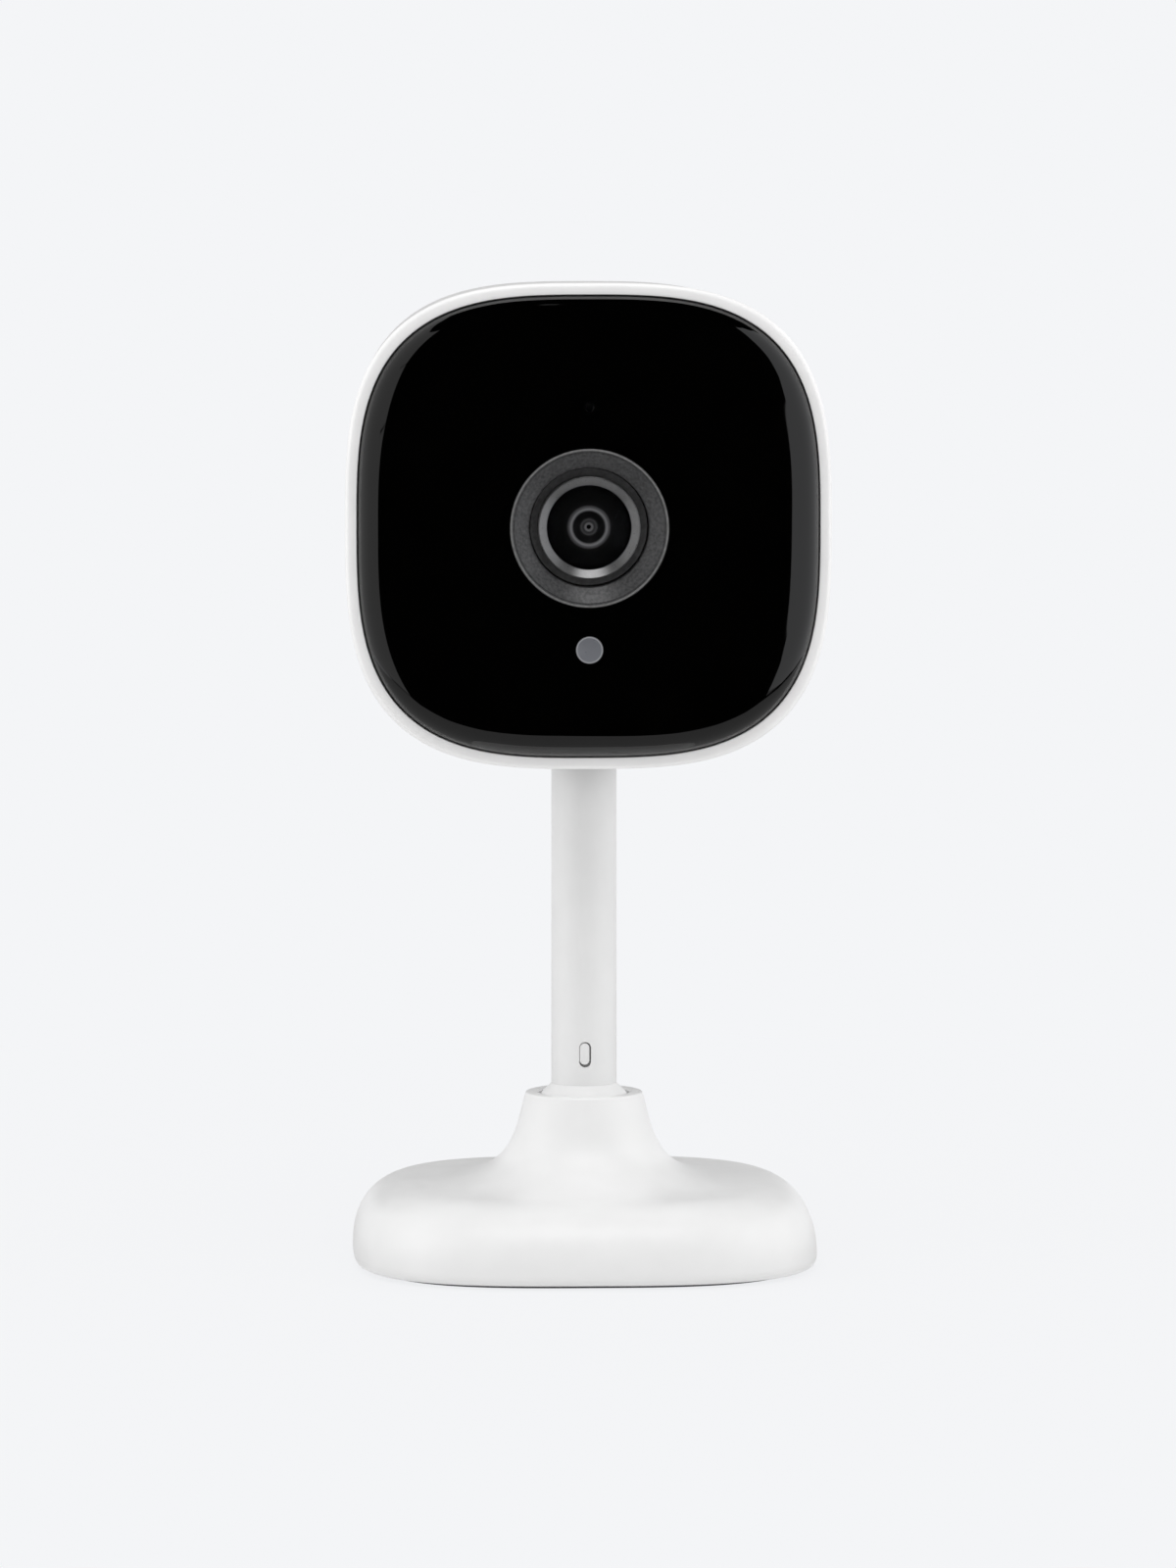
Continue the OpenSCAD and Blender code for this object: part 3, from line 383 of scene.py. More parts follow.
def add_grain(nodes, links, shader, height, depth_um):
    """Bump of a real depth on a shader's normal."""
    bump = nodes.new("ShaderNodeBump")
    bump.inputs["Distance"].default_value = depth_um * 1e-6
    links.new(height, bump.inputs["Height"])
    links.new(bump.outputs["Normal"], shader.inputs["Normal"])


def surface(name, colour, rough, spread=0.04, shift=0.03, grain_mm=0.3, grain_um=3.0, patch_mm=6.0,
            metal=0.0):
    """Moulded, painted or metal surface: colour in slow patches, uneven gloss and a fine grain."""
    material, nodes, links, shader = node_material(name)
    patches = ranged(nodes, links, noise(nodes, links, patch_mm, 2.0), 0, 1)
    darker = [c * (1 - shift) for c in colour]
    links.new(tint(nodes, links, patches, darker, colour), shader.inputs["Base Color"])
    uneven = ranged(nodes, links, noise(nodes, links, patch_mm / 4), rough - spread, rough + spread)
    links.new(uneven, shader.inputs["Roughness"])
    add_grain(nodes, links, shader, noise(nodes, links, grain_mm, 4.0), grain_um)
    shader.inputs["Metallic"].default_value = metal
    return material


def clear_glass(name, passed, gloss_tint, ior):
    """Coated glass: passes light straight through and reflects by Fresnel's law."""
    material, nodes, links, shader = node_material(name)
    nodes.remove(shader)
    through = nodes.new("ShaderNodeBsdfTransparent")
    through.inputs["Color"].default_value = (*passed, 1)
    gloss = nodes.new("ShaderNodeBsdfGlossy")
    gloss.inputs["Color"].default_value = (*gloss_tint, 1)
    gloss.inputs["Roughness"].default_value = 0.02
    facing = nodes.new("ShaderNodeFresnel")
    facing.inputs["IOR"].default_value = ior
    mix = nodes.new("ShaderNodeMixShader")
    links.new(facing.outputs["Fac"], mix.inputs["Fac"])
    links.new(through.outputs["BSDF"], mix.inputs[1])
    links.new(gloss.outputs["BSDF"], mix.inputs[2])
    links.new(mix.outputs["Shader"], nodes["Material Output"].inputs["Surface"])
    return material


# Greys of the black mount behind the front glass, by distance from the lens axis in millimetres: black paint with
# pale rings of painted glow, which stand in for light shining in the lens
MOUNT_PAINTED_GLOW = ((0.0, 0.02), (0.2, 0.03), (0.4, 0.11), (0.66, 0.02), (0.9, 0.04), (1.1, 0.005),
               (1.3, 0.001), (1.8, 0.001), (2.15, 0.14), (2.35, 0.06), (2.7, 0.003), (3.2, 0.001),
               (5.0, 0.001))


def painted_glow_black(name, rings):
    """Black paint with rings of painted glow round the lens axis, paler where light would shine in the lens, with
    a fine grain.
    """
    material, nodes, links, shader = node_material(name)
    place = nodes.new("ShaderNodeTexCoord")
    offset = nodes.new("ShaderNodeVectorMath")
    offset.operation = "SUBTRACT"
    offset.inputs[1].default_value = (0, 0, LENS_Z * MM)
    flatten = nodes.new("ShaderNodeVectorMath")
    flatten.operation = "MULTIPLY"
    flatten.inputs[1].default_value = (1, 0, 1)
    reach = nodes.new("ShaderNodeVectorMath")
    reach.operation = "LENGTH"
    outer_r = rings[-1][0]
    scaled = nodes.new("ShaderNodeMapRange")
    scaled.inputs["From Max"].default_value = outer_r * MM
    ramp = nodes.new("ShaderNodeValToRGB")
    ramp.color_ramp.interpolation = "EASE"
    stops = ramp.color_ramp.elements
    while len(stops) < len(rings):
        stops.new(1.0)
    for stop, (r, grey) in zip(stops, rings):
        stop.position = r / outer_r
        stop.color = (grey, grey, grey, 1)
    links.new(place.outputs["Object"], offset.inputs[0])
    links.new(offset.outputs["Vector"], flatten.inputs[0])
    links.new(flatten.outputs["Vector"], reach.inputs[0])
    links.new(reach.outputs["Value"], scaled.inputs["Value"])
    links.new(scaled.outputs["Result"], ramp.inputs["Fac"])
    links.new(ramp.outputs["Color"], shader.inputs["Base Color"])
    links.new(ranged(nodes, links, noise(nodes, links, 0.5), 0.5, 0.65), shader.inputs["Roughness"])
    shader.inputs["Specular IOR Level"].default_value = 0.12
    add_grain(nodes, links, shader, noise(nodes, links, 0.15), 2.0)
    return material


def paint(piece, *materials):
    """Gives a piece these materials and no others."""
    piece.data.materials.clear()
    for material in materials:
        piece.data.materials.append(material)


WHITE_SHELL = surface("white_shell", (0.87, 0.866, 0.866), 0.36, grain_um=1.5)
# The stem's and the base's whites are darker than the shell's white plastic: painted shade
STEM_WHITE_PAINTED_SHADE = surface("white_stem", (0.76, 0.76, 0.76), 0.38, grain_mm=0.2, grain_um=1.5)
BASE_WHITE_PAINTED_SHADE = surface("white_base", (0.79, 0.79, 0.79), 0.4, grain_um=1.5)
BLACK_WINDOW = surface("black_window", (0.0005, 0.0005, 0.0005), 0.045, spread=0.015, shift=0.3,
                       grain_um=0.05)
RING_GREY = surface("ring_grey", (0.075, 0.075, 0.077), 0.38, spread=0.1, shift=0.5, grain_mm=0.4,
                    grain_um=25.0, patch_mm=0.35, metal=0.4)
# Paler grey of the trim ring's rounded lip: a painted highlight along its edge
RING_LIP_HIGHLIGHT = surface("ring_lip_painted_highlight", (0.17, 0.17, 0.17), 0.4, spread=0.08, shift=0.4, grain_mm=0.2,
                   grain_um=8.0, patch_mm=0.4)
BEZEL_METAL = surface("bezel_metal", (0.22, 0.22, 0.222), 0.31, spread=0.04, shift=0.12, grain_mm=0.15,
                      grain_um=1.5, patch_mm=0.8, metal=0.9)
FLANGE_GREY = surface("flange_grey", (0.16, 0.16, 0.162), 0.45, spread=0.08, shift=0.3, grain_mm=0.2,
                      grain_um=8.0, patch_mm=0.5, metal=0.4)
BARREL_BLACK = surface("barrel_black", (0.012, 0.012, 0.013), 0.6, grain_mm=0.2, grain_um=6.0)
# The mount's black carries the painted glow rings
MOUNT_BLACK_WITH_PAINTED_GLOW = painted_glow_black("mount_black_painted_glow", MOUNT_PAINTED_GLOW)
BEAD_GREY = surface("bead_grey", (0.2, 0.2, 0.205), 0.35, grain_mm=0.2, grain_um=2.0)
BLACK_PLASTIC = surface("black_plastic", (0.018, 0.018, 0.02), 0.55, grain_um=8.0)
FRAME_PLASTIC = surface("frame_plastic", (0.11, 0.11, 0.115), 0.5, grain_um=8.0)
COPPER = surface("coil_copper", (0.6, 0.27, 0.12), 0.35, grain_mm=0.15, grain_um=15.0, metal=0.8)
BOARD_GREEN = surface("circuit_board", (0.015, 0.13, 0.06), 0.4, shift=0.3, patch_mm=2.0, grain_um=6.0)
STEEL = surface("steel", (0.56, 0.56, 0.57), 0.32, spread=0.08, grain_mm=0.2, metal=1.0)
WEIGHT_STEEL = surface("weight_steel", (0.3, 0.3, 0.31), 0.45, spread=0.1, shift=0.2, metal=1.0)
PLATED_CAN = surface("plated_can", (0.68, 0.68, 0.69), 0.3, spread=0.06, metal=1.0)
SPREADER = surface("spreader_metal", (0.74, 0.74, 0.75), 0.4, spread=0.08, metal=1.0)
BRASS = surface("brass_spacer", (0.72, 0.55, 0.26), 0.3, metal=1.0)
FILM = surface("antenna_film", (0.6, 0.4, 0.1), 0.4, grain_um=2.0)
THERMAL = surface("thermal_rubber", (0.7, 0.45, 0.5), 0.7, grain_um=12.0)
LAMP = surface("lamp_plastic", (0.8, 0.8, 0.76), 0.2, grain_um=1.0)
PIPE_FACE = surface("light_pipe", (0.13, 0.135, 0.15), 0.3, grain_um=1.5)
PIPE_RIM = surface("light_pipe_rim", (0.26, 0.265, 0.28), 0.3, grain_um=1.5)
SOFT_RUBBER = surface("soft_rubber", (0.015, 0.015, 0.015), 0.75, grain_um=10.0)
PAD_RUBBER = surface("pad_rubber", (0.14, 0.14, 0.145), 0.8, shift=0.15, grain_mm=0.25, grain_um=25.0)
PLATE_PLASTIC = surface("plate_plastic", (0.74, 0.74, 0.74), 0.5, grain_um=12.0)
NYLON = surface("nylon", (0.82, 0.8, 0.74), 0.45)
SENSOR = surface("sensor_dark", (0.04, 0.06, 0.08), 0.12, grain_um=0.2)
LENS_GLASS = clear_glass("lens_glass", (0.95, 0.95, 0.96), (0.8, 0.85, 1.0), 1.06)
INNER_GLASS = clear_glass("inner_glass", (0.8, 0.84, 0.86), (0.7, 0.9, 1.0), 1.3)
FILTER_GLASS = clear_glass("filter_glass", (0.45, 0.8, 0.78), (0.9, 0.7, 0.7), 1.4)
CLEAR_PANE = clear_glass("clear_pane", (0.9, 0.93, 0.95), (1.0, 1.0, 1.0), 1.4)

SLOT_MATERIALS = {
    "white_shell": WHITE_SHELL, "white_stem": STEM_WHITE_PAINTED_SHADE, "white_base": BASE_WHITE_PAINTED_SHADE,
    "black_window": BLACK_WINDOW, "ring_grey": RING_GREY, "barrel_metal": BEZEL_METAL,
    "lens_glass": INNER_GLASS, "black_plastic": BLACK_PLASTIC, "frame_plastic": FRAME_PLASTIC,
    "coil_copper": COPPER, "filter_glass": FILTER_GLASS, "clear_glass": CLEAR_PANE,
    "sensor_dark": SENSOR, "circuit_board": BOARD_GREEN, "steel": STEEL, "weight_steel": WEIGHT_STEEL,
    "plated_can": PLATED_CAN, "spreader_metal": SPREADER, "brass_spacer": BRASS, "antenna_film": FILM,
    "thermal_rubber": THERMAL, "lamp_plastic": LAMP, "light_pipe": PIPE_FACE,
    "soft_rubber": SOFT_RUBBER, "pad_rubber": PAD_RUBBER, "plate_plastic": PLATE_PLASTIC, "nylon": NYLON,
}
SLOT_OF = {part["node"]: part["material_slot"] for part in frame["record"]["subparts"]}
BODIES = frame["record"]["behaviour"]["bodies"]


def stand_in(piece, node, *materials):
    """The piece stands for a CAD node: it rides on the node's body and takes the node's finish."""
    body = next(name for name, nodes in BODIES.items() if node in nodes)
    paint(piece, *(materials or [SLOT_MATERIALS[SLOT_OF[node]]]))
    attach(piece, body)
    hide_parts(node)


# ------------------------------------------------------------------ head shell

def stem_sweep():
    """Side outline of the slot that the stem sweeps in the head, as (y, z)."""
    r, far = STEM_SLOT_R, 80
    down, up = math.radians(TILT_DOWN), math.radians(TILT_UP)
    front = (-math.cos(down) * r, TILT_Z + math.sin(down) * r)
    low_front = (front[0] - far * math.sin(down), front[1] - far * math.cos(down))
    rear = (math.cos(up) * r, TILT_Z + math.sin(up) * r)
    low_rear = (rear[0] + far * math.sin(up), rear[1] - far * math.cos(up))
    corner = (low_rear[0], TILT_Z - far)
    return [low_front, corner, low_rear] + arc(0, TILT_Z, r, TILT_UP, 180 - TILT_DOWN, 24)


def chamfered_hole(r):
    """Profile of a cutter through the head's back wall, opening out a little at the outside."""
    mouth_r = r + 0.2
    return [(r, BACK_IN_Y - 1), (r, BACK_Y - 0.18), (mouth_r, BACK_Y + 0.02), (mouth_r, BACK_Y + 0.5)]


def cut_stem_slot(shell):
    cutter = bmesh.new()
    add_prism(cutter, stem_sweep(), -STEM_SLOT_HALF, STEM_SLOT_HALF, along="x")
    combine(shell, cutter, "DIFFERENCE")


def cut_holes(shell):
    """Openings for the power plug, the reset button, the sound and the memory card."""
    cutters = bmesh.new()
    usb_w = USB_HIGH.x - USB_LOW.x + 2 * USB_MARGIN
    usb_h = USB_HIGH.z - USB_LOW.z + 2 * USB_MARGIN
    add_slot(cutters, usb_w, usb_h, middle("usb_socket"),
             ((BACK_IN_Y - 1, 0), (BACK_Y - 0.25, 0), (BACK_Y + 0.05, 0.3)))
    add_rod(cutters, chamfered_hole(RESET_HOLE_R), middle("reset_button"), count=48)
    speaker_z = middle("speaker_gasket")[1]
    for reach, count in GRILLE_RINGS:
        for x, z in circle(reach, count):
            add_rod(cutters, chamfered_hole(GRILLE_HOLE_R), (x, speaker_z + z), count=32)
    card_y = box_mm("card_socket")[0].y + CARD_SOCKET_WALL + CARD_SLOT_W / 2
    card_slot = slot_outline(CARD_SLOT_W, CARD_SLOT_H, card_y, middle("card_socket")[1])
    add_prism(cutters, card_slot, HALF_W - 4, HALF_W + 1, along="x")
    combine(shell, cutters, "DIFFERENCE")


def make_shell():
    """Cup with a rounded back and a thin rim, and its openings."""
    rear_inner_edge = REAR_EDGE - SHELL_WALL
    margin = 0.3        # from a flat face's edge to the loop that keeps it flat
    straight = 0.4      # from a rounded edge to the loop where the straight side begins
    steps = 24
    loops = [shell_loop(BACK_IN_Y, SHELL_WALL + rear_inner_edge + margin)]
    loops += [shell_loop(BACK_IN_Y - rear_inner_edge * (1 - math.sin(a)),
                         SHELL_WALL + rear_inner_edge * (1 - math.cos(a)))
              for a in reversed(quarter_turn(steps))]
    loops += [shell_loop(LEDGE_Y + margin, SHELL_WALL), shell_loop(LEDGE_Y, SHELL_WALL),
              head_loop(LEDGE_Y, RIM_W), head_loop(RIM_Y + RIM_INNER_EDGE, RIM_W)]
    loops += [head_loop(RIM_Y + RIM_INNER_EDGE * (1 - math.sin(a)),
                        RIM_W - RIM_INNER_EDGE * (1 - math.cos(a))) for a in quarter_turn(3)[1:]]
    loops.append(head_loop(RIM_Y, RIM_OUTER_EDGE + 0.08))
    loops += [head_loop(RIM_Y + RIM_OUTER_EDGE * (1 - math.cos(a)), RIM_OUTER_EDGE * (1 - math.sin(a)))
              for a in quarter_turn(8)]
    loops += [shell_loop(RIM_Y + RIM_OUTER_EDGE + straight, 0),
              shell_loop(BACK_Y - REAR_EDGE - straight, 0)]
    loops += [shell_loop(BACK_Y - REAR_EDGE * (1 - math.sin(a)), REAR_EDGE * (1 - math.cos(a)))
              for a in quarter_turn(steps)]
    loops.append(shell_loop(BACK_Y, REAR_EDGE + margin))
    shell = loft("shell", loops)
    cut_stem_slot(shell)
    cut_holes(shell)
    stand_in(shell, "head_shell")


# ------------------------------------------------------------------ window

def make_window():
    """Shallow cup with a rounded edge, bored for the lens, the status light and the microphone."""
    side = RIM_W + WINDOW_GAP
    flat = side + WINDOW_EDGE
    inner_edge = WINDOW_EDGE - WINDOW_T
    bore = RING_R + WINDOW_GAP
    loops = [head_loop(LEDGE_Y, side)]
    loops += [head_loop(FACE_Y + WINDOW_EDGE * (1 - math.cos(a)), side + WINDOW_EDGE * (1 - math.sin(a)))
              for a in reversed(quarter_turn(32))]
    loops += [head_loop(FACE_Y, flat + 0.08), head_loop(FACE_Y, flat + 0.5), lens_loop(FACE_Y, bore + 0.5),
              lens_loop(FACE_Y, bore + WINDOW_BEVEL), lens_loop(FACE_Y + WINDOW_BEVEL, bore),
              lens_loop(FACE_Y + WINDOW_T, bore), head_loop(FACE_Y + WINDOW_T, flat + 0.3)]
    loops += [head_loop(FACE_Y + WINDOW_EDGE - inner_edge * math.cos(a),
                        side + WINDOW_EDGE - inner_edge * math.sin(a)) for a in quarter_turn(8)]
    loops.append(head_loop(LEDGE_Y, side + WINDOW_T))
    window = loft("window", loops, closed=True)
    cutters = bmesh.new()
    for z, r in ((STATUS_Z, STATUS_R + WINDOW_GAP), (MIC_Z, MIC_HOLE_R)):
        profile = [(r + WINDOW_BEVEL + 0.1, FACE_Y - 0.1), (r + WINDOW_BEVEL, FACE_Y),
                   (r, FACE_Y + WINDOW_BEVEL), (r, FACE_Y + 4)]
        add_rod(cutters, profile, (0, z), count=64)
    combine(window, cutters, "DIFFERENCE")
    stand_in(window, "front_window")
    return window


# ------------------------------------------------------------------ lens

def make_lens_ring():
    """Trim ring: a rounded lip, a groove inside it, a dish down to the bore and a flange behind."""
    r, bore, lip = RING_R, RING_BORE_R, 0.12
    back = FACE_Y + WINDOW_T
    flange_r, flange_t = r + RING_FLANGE, 0.8
    groove = ((0.2, 0), (0.27, 0.14), (0.42, 0.2), (0.52, 0.18))            # (inwards from r, depth)
    dish_foot = ((0.2, 1.34), (0.08, 1.4), (0.01, 1.5), (0, 1.62))          # (outwards from bore, depth)
    profile = [(r, back), (r, FACE_Y + lip + 0.1)]
    profile += arc(r - lip, FACE_Y + lip, lip, 0, -90, 6)
    profile += [(r - inwards, FACE_Y + depth) for inwards, depth in groove]
    profile += [(bore + outwards, FACE_Y + depth) for outwards, depth in dish_foot]
    profile += [(bore, RING_HIGH.y), (bore + flange_t, RING_HIGH.y), (bore + flange_t, back + flange_t),
                (flange_r, back + flange_t), (flange_r, back)]
    ring = turned("trim_ring", profile, (0, LENS_Z))
    stand_in(ring, "lens_ring", RING_GREY, RING_LIP_HIGHLIGHT)
    # The rounded lip's faces take the paler grey, a painted highlight
    mark_faces(ring, LENS_Z, lambda radius, y: int(y < FACE_Y + 0.3 and radius > r - 0.24))


def make_barrel():
    """Lens barrel: its bezel, the rim round it, the black mount behind the front glass and the thread."""
    face, end = BARREL_LOW.y, BARREL_HIGH.y
    front_r, thread_r, glass_r, bore = 6.1, 6.0, 5.0, 3.8
    edge, rim_edge = 0.1, 0.06
    seat = face + 0.8
    mount = seat + 0.4
    thread_y = face + 3.5
    rim_r, rim_y, rim_back = RING_BORE_R - 0.1, face + 2.2, face + 2.8
    profile = [(front_r, thread_y), (front_r, rim_back), (rim_r, rim_back), (rim_r, rim_y + rim_edge),
               (rim_r - rim_edge, rim_y), (front_r + 0.02, rim_y + 0.4), (front_r, rim_y + 0.36),
               (front_r, face + edge)]
    profile += arc(front_r - edge, face + edge, edge, 0, -90, 4)
    # The cone of the bezel has points close to its ends, which keep its shading even
    outside, inside = Vector((front_r - 0.14, face)), Vector((glass_r + 0.05, seat - 0.18))
    profile += [tuple(outside.lerp(inside, t)) for t in (0, 0.06, 0.94, 1)]
    profile += [(glass_r, seat - 0.12), (glass_r, seat + 0.1), (glass_r, mount), (2.7, mount + 0.02)]
    # A round bead on the mount, then the steps down to its small opening
    bead_r, bead_half, bead_h = 2.25, 0.3, 0.14
    profile += [(bead_r + bead_half * math.cos(a), mount - bead_h * math.sin(a))
                for a in (0.6, 1.1, 1.57, 2.1, 2.6)]
    opening_r = 0.25
    steps = ((1.85, 0.08), (1.1, 0.4), (0.9, 0.34), (0.72, 0.42), (0.45, 0.36), (opening_r, 0.45),
             (opening_r, 0.8), (bore, 0.9))
    profile += [(r, mount + depth) for r, depth in steps]
    profile += [(bore, end), (thread_r, end)]
    pitch, thread_depth = 0.5, 0.16
    y = end - 0.3
    while y > thread_y + 0.3:
        profile += [(thread_r, y), (thread_r - thread_depth, y - pitch / 2)]
        y -= pitch
    profile += [(thread_r, thread_y)]
    barrel = turned("lens_barrel_front", profile, (0, LENS_Z))
    stand_in(barrel, "lens_barrel", BEZEL_METAL, BARREL_BLACK, MOUNT_BLACK_WITH_PAINTED_GLOW, FLANGE_GREY)

    def material_at(r, y):
        if y > rim_back - 0.1:
            return 1
        if y > rim_y - 0.01:
            return 3
        return 2 if r < glass_r + 0.005 and y > seat + 0.05 else 0

    mark_faces(barrel, LENS_Z, material_at)


def make_glass(name, node, r, front, back, bulge, back_bulge, material):
    """Round lens element: a dome in front, another behind and a flat edge."""
    steps = 16
    domed = [(max(r * i / steps, TIP_R), 1 - (i / steps) ** 2) for i in range(steps + 1)]
    profile = [(radius, front - bulge * height) for radius, height in domed]
    profile += [(radius, back + back_bulge * height) for radius, height in reversed(domed)]
    piece = rod(name, profile, (0, LENS_Z))
    stand_in(piece, node, material)
    return piece


def make_glasses():
    """Front glass, domed forwards on both sides, and the middle glass, domed outwards on both."""
    bulge, thickness = 1.3, 0.2
    edge_y = box_mm("front_glass")[0].y + bulge
    front = make_glass("front_element", "front_glass", 4.95, edge_y, edge_y + thickness, bulge, -bulge,
                       LENS_GLASS)
    low, high = box_mm("middle_glass")
    bulge = 0.4
    middle_element = make_glass("middle_element", "middle_glass", 3.75, low.y + bulge, high.y - bulge,
                                bulge, bulge, INNER_GLASS)
    return front, middle_element


def make_stop():
    """Aperture stop: a stepped black disc with a paler, rounded edge round its opening."""
    low, high = box_mm("aperture_stop")
    front, back = low.y, high.y
    disc_r, opening_r, step = 3.75, 0.93, 0.06
    profile = [(disc_r, back), (disc_r, front), (2.4, front), (2.3, front + step), (1.7, front + step),
               (1.6, front), (1.1, front)]
    profile += arc(1.02, front + step, 0.09, -60, -180, 6)
    profile += [(opening_r, back)]
    stop = turned("stop_disc", profile, (0, LENS_Z))
    stand_in(stop, "aperture_stop", BARREL_BLACK, BEAD_GREY)
    mark_faces(stop, LENS_Z, lambda r, y: int(r < 1.08))


def make_status_light():
    """Light pipe: a face with a paler rim, and the flange that holds it behind the window."""
    r, edge, rim_w = STATUS_R, 0.06, 0.14
    flange_w, flange_t = 0.6, 0.6
    window_back = FACE_Y + WINDOW_T
    back = box_mm("status_light_pipe")[1].y
    profile = [(AXIS_R, FACE_Y + 0.05), (r - 0.16, FACE_Y + 0.04), (r - 0.1, FACE_Y + 0.01)]
    profile += arc(r - edge, FACE_Y + edge, edge, -90, 0, 5)
    profile += [(r, window_back), (r + flange_w, window_back), (r + flange_w, window_back + flange_t),
                (r, window_back + flange_t), (r, back), (AXIS_R, back)]
    light = rod("status_light", profile, (0, STATUS_Z), count=96)
    stand_in(light, "status_light_pipe", PIPE_FACE, PIPE_RIM)
    mark_faces(light, STATUS_Z, lambda radius, y: int(radius > r - rim_w))


# ------------------------------------------------------------------ stem

def rectangle(half_w, low, high):
    """Outline of an upright rectangle that is centred on the Z axis."""
    return [(-half_w, low), (half_w, low), (half_w, high), (-half_w, high)]


def make_tube():
    """The stem's tube, with a pill-shaped window for the snap tongue."""
    r, bore = STEM_R, STEM_R - STEM_WALL
    low, high = TUBE_LOW.z, TUBE_HIGH.z
    edge, margin, levels = 0.03, 0.5, 60
    profile = [(bore, low), (r - edge, low), (r, low + edge), (r, low + margin)]
    profile += [(r, low + margin + (high - low - 2 * margin) * i / levels) for i in range(1, levels)]
    profile += [(r, high - margin), (r, high - edge), (r - edge, high), (bore, high)]
    tube = turned("stem", profile, along="z")
    cutter = bmesh.new()
    add_slot(cutter, LATCH_WINDOW_W, LATCH_WINDOW_H, (0, LATCH_Z),
             ((-r - 0.5, 0.04), (-r, 0.04), (-r + 0.05, 0), (-1.5, 0)))
    combine(tube, cutter, "DIFFERENCE")
    stand_in(tube, "stem_tube")


def make_tongue():
    """Snap tongue: a strip with a pill-shaped bump that fills the stem's window."""
    front, back, half_w = -2.75, -1.95, 1.0
    side = [(front, TONGUE_LOW.z), (back, TONGUE_LOW.z)]
    side += arc(back - TONGUE_ROOT_R, TONGUE_ROOT_Z, TONGUE_ROOT_R, 0, 180, 12)
    strip = bmesh.new()
    add_prism(strip, side, -half_w, half_w, along="x")
    tongue = finish_mesh("latch", strip)
    bump = bmesh.new()
    bump_w, bump_h, bump_centre = 1.22, 2.7, (-0.07, LATCH_Z + 0.1)
    face = TONGUE_LOW.y + 0.02
    add_slot(bump, bump_w, bump_h, bump_centre,
             ((face, -0.2), (face + 0.03, -0.1), (face + 0.1, -0.03), (face + 0.22, 0), (front + 0.1, 0)))
    combine(tongue, bump, "UNION")
    stand_in(tongue, "latch_tongue")


def make_knuckle():
    """Round knuckle on the stem's top, with its neck and the tail inside the tube."""
    r, half, edge = (KNUCKLE_HIGH.y - KNUCKLE_LOW.y) / 2, 3.7, 0.3
    past = 6        # beyond the knuckle on every side
    rim = [(r - edge * (1 - math.sin(a)), -half + edge * (1 - math.cos(a))) for a in quarter_turn(3)]
    drum = rim + [(radius, -depth) for radius, depth in reversed(rim)]
    knuckle = rod("knuckle", drum, (0, TILT_Z), "x", count=96)
    neck = rod("neck", [(STEM_R, TUBE_HIGH.z), (STEM_R, TILT_Z)], along="z")
    sides = bmesh.new()
    add_prism(sides, rectangle(past, TUBE_HIGH.z - 1, TILT_Z + 1), -half, half, along="x")
    combine(neck, sides, "INTERSECT")
    combine(knuckle, reopened(neck), "UNION")
    tail = bmesh.new()
    add_rod(tail, [(SPIGOT_R, KNUCKLE_LOW.z), (SPIGOT_R, TUBE_HIGH.z + 0.1)], along="z")
    combine(knuckle, tail, "UNION")
    pin_r = PIN_R + 0.05
    hole = bmesh.new()
    add_rod(hole, [(pin_r, -past), (pin_r, past)], (0, TILT_Z), "x", count=64)
    combine(knuckle, hole, "DIFFERENCE")
    stand_in(knuckle, "stem_knuckle")


def make_collar():
    """Flared collar with its journal below and the spigot that the tube sits on."""
    low, top, spigot_top = COLLAR_LOW.z, TUBE_LOW.z, COLLAR_HIGH.z
    flare_z, chamfer = top - FLARE_H, 0.2
    screw_r, spigot_bore, floor_z = 1.55, SPIGOT_R - 1.05, top + 0.8
    profile = [(screw_r, low), (JOURNAL_R - chamfer, low), (JOURNAL_R, low + chamfer),
               (JOURNAL_R, flare_z - 0.35), (FLARE_R - 0.1, flare_z - 0.35), (FLARE_R, flare_z - 0.25),
               (FLARE_R, flare_z - 0.05)]
    profile += [(FLARE_R - (FLARE_R - STEM_R) * t, flare_z + FLARE_H * t)
                for t in (0.04, 0.3, 0.6, 0.95, 1.0)]
    profile += [(SPIGOT_R, top), (SPIGOT_R, spigot_top - chamfer), (SPIGOT_R - chamfer, spigot_top),
                (spigot_bore, spigot_top), (spigot_bore, floor_z), (screw_r, floor_z)]
    collar = turned("collar", profile, along="z")
    tongue_slot = bmesh.new()
    add_prism(tongue_slot, rectangle(1.25, TONGUE_LOW.z - 0.3, TONGUE_HIGH.z + 0.3), -6, 0)
    combine(collar, tongue_slot, "DIFFERENCE")
    stand_in(collar, "swivel_collar")


# ------------------------------------------------------------------ base

def base_loop(r, z):
    """Level outline of the base, from a circle at the neck to a rounded square outside."""
    share = max(0.0, min(1.0, (r - NECK_R) / (BASE_R - SHOULDER_RUN - NECK_R)))
    power = 2 + (BASE_SQUARENESS - 2) * share * share * (3 - 2 * share)
    return [(x, y, z) for x, y in superellipse(r, r, power)]


def pad_loop(r, z, pad_r):
    """Level outline of the foot pad, from a circle in the middle to a rounded square outside."""
    share = min(1.0, r / (pad_r * 0.8))
    power = 2 + (BASE_SQUARENESS - 2) * share * share
    return [(x, y, z) for x, y in superellipse(r, r, power)]


def bezier(points, t):
    """Point of a cubic curve in a profile plane."""
    rest = 1 - t
    weights = (rest ** 3, 3 * rest * rest * t, 3 * rest * t * t, t ** 3)
    return [sum(weight * point[k] for weight, point in zip(weights, points)) for k in (0, 1)]


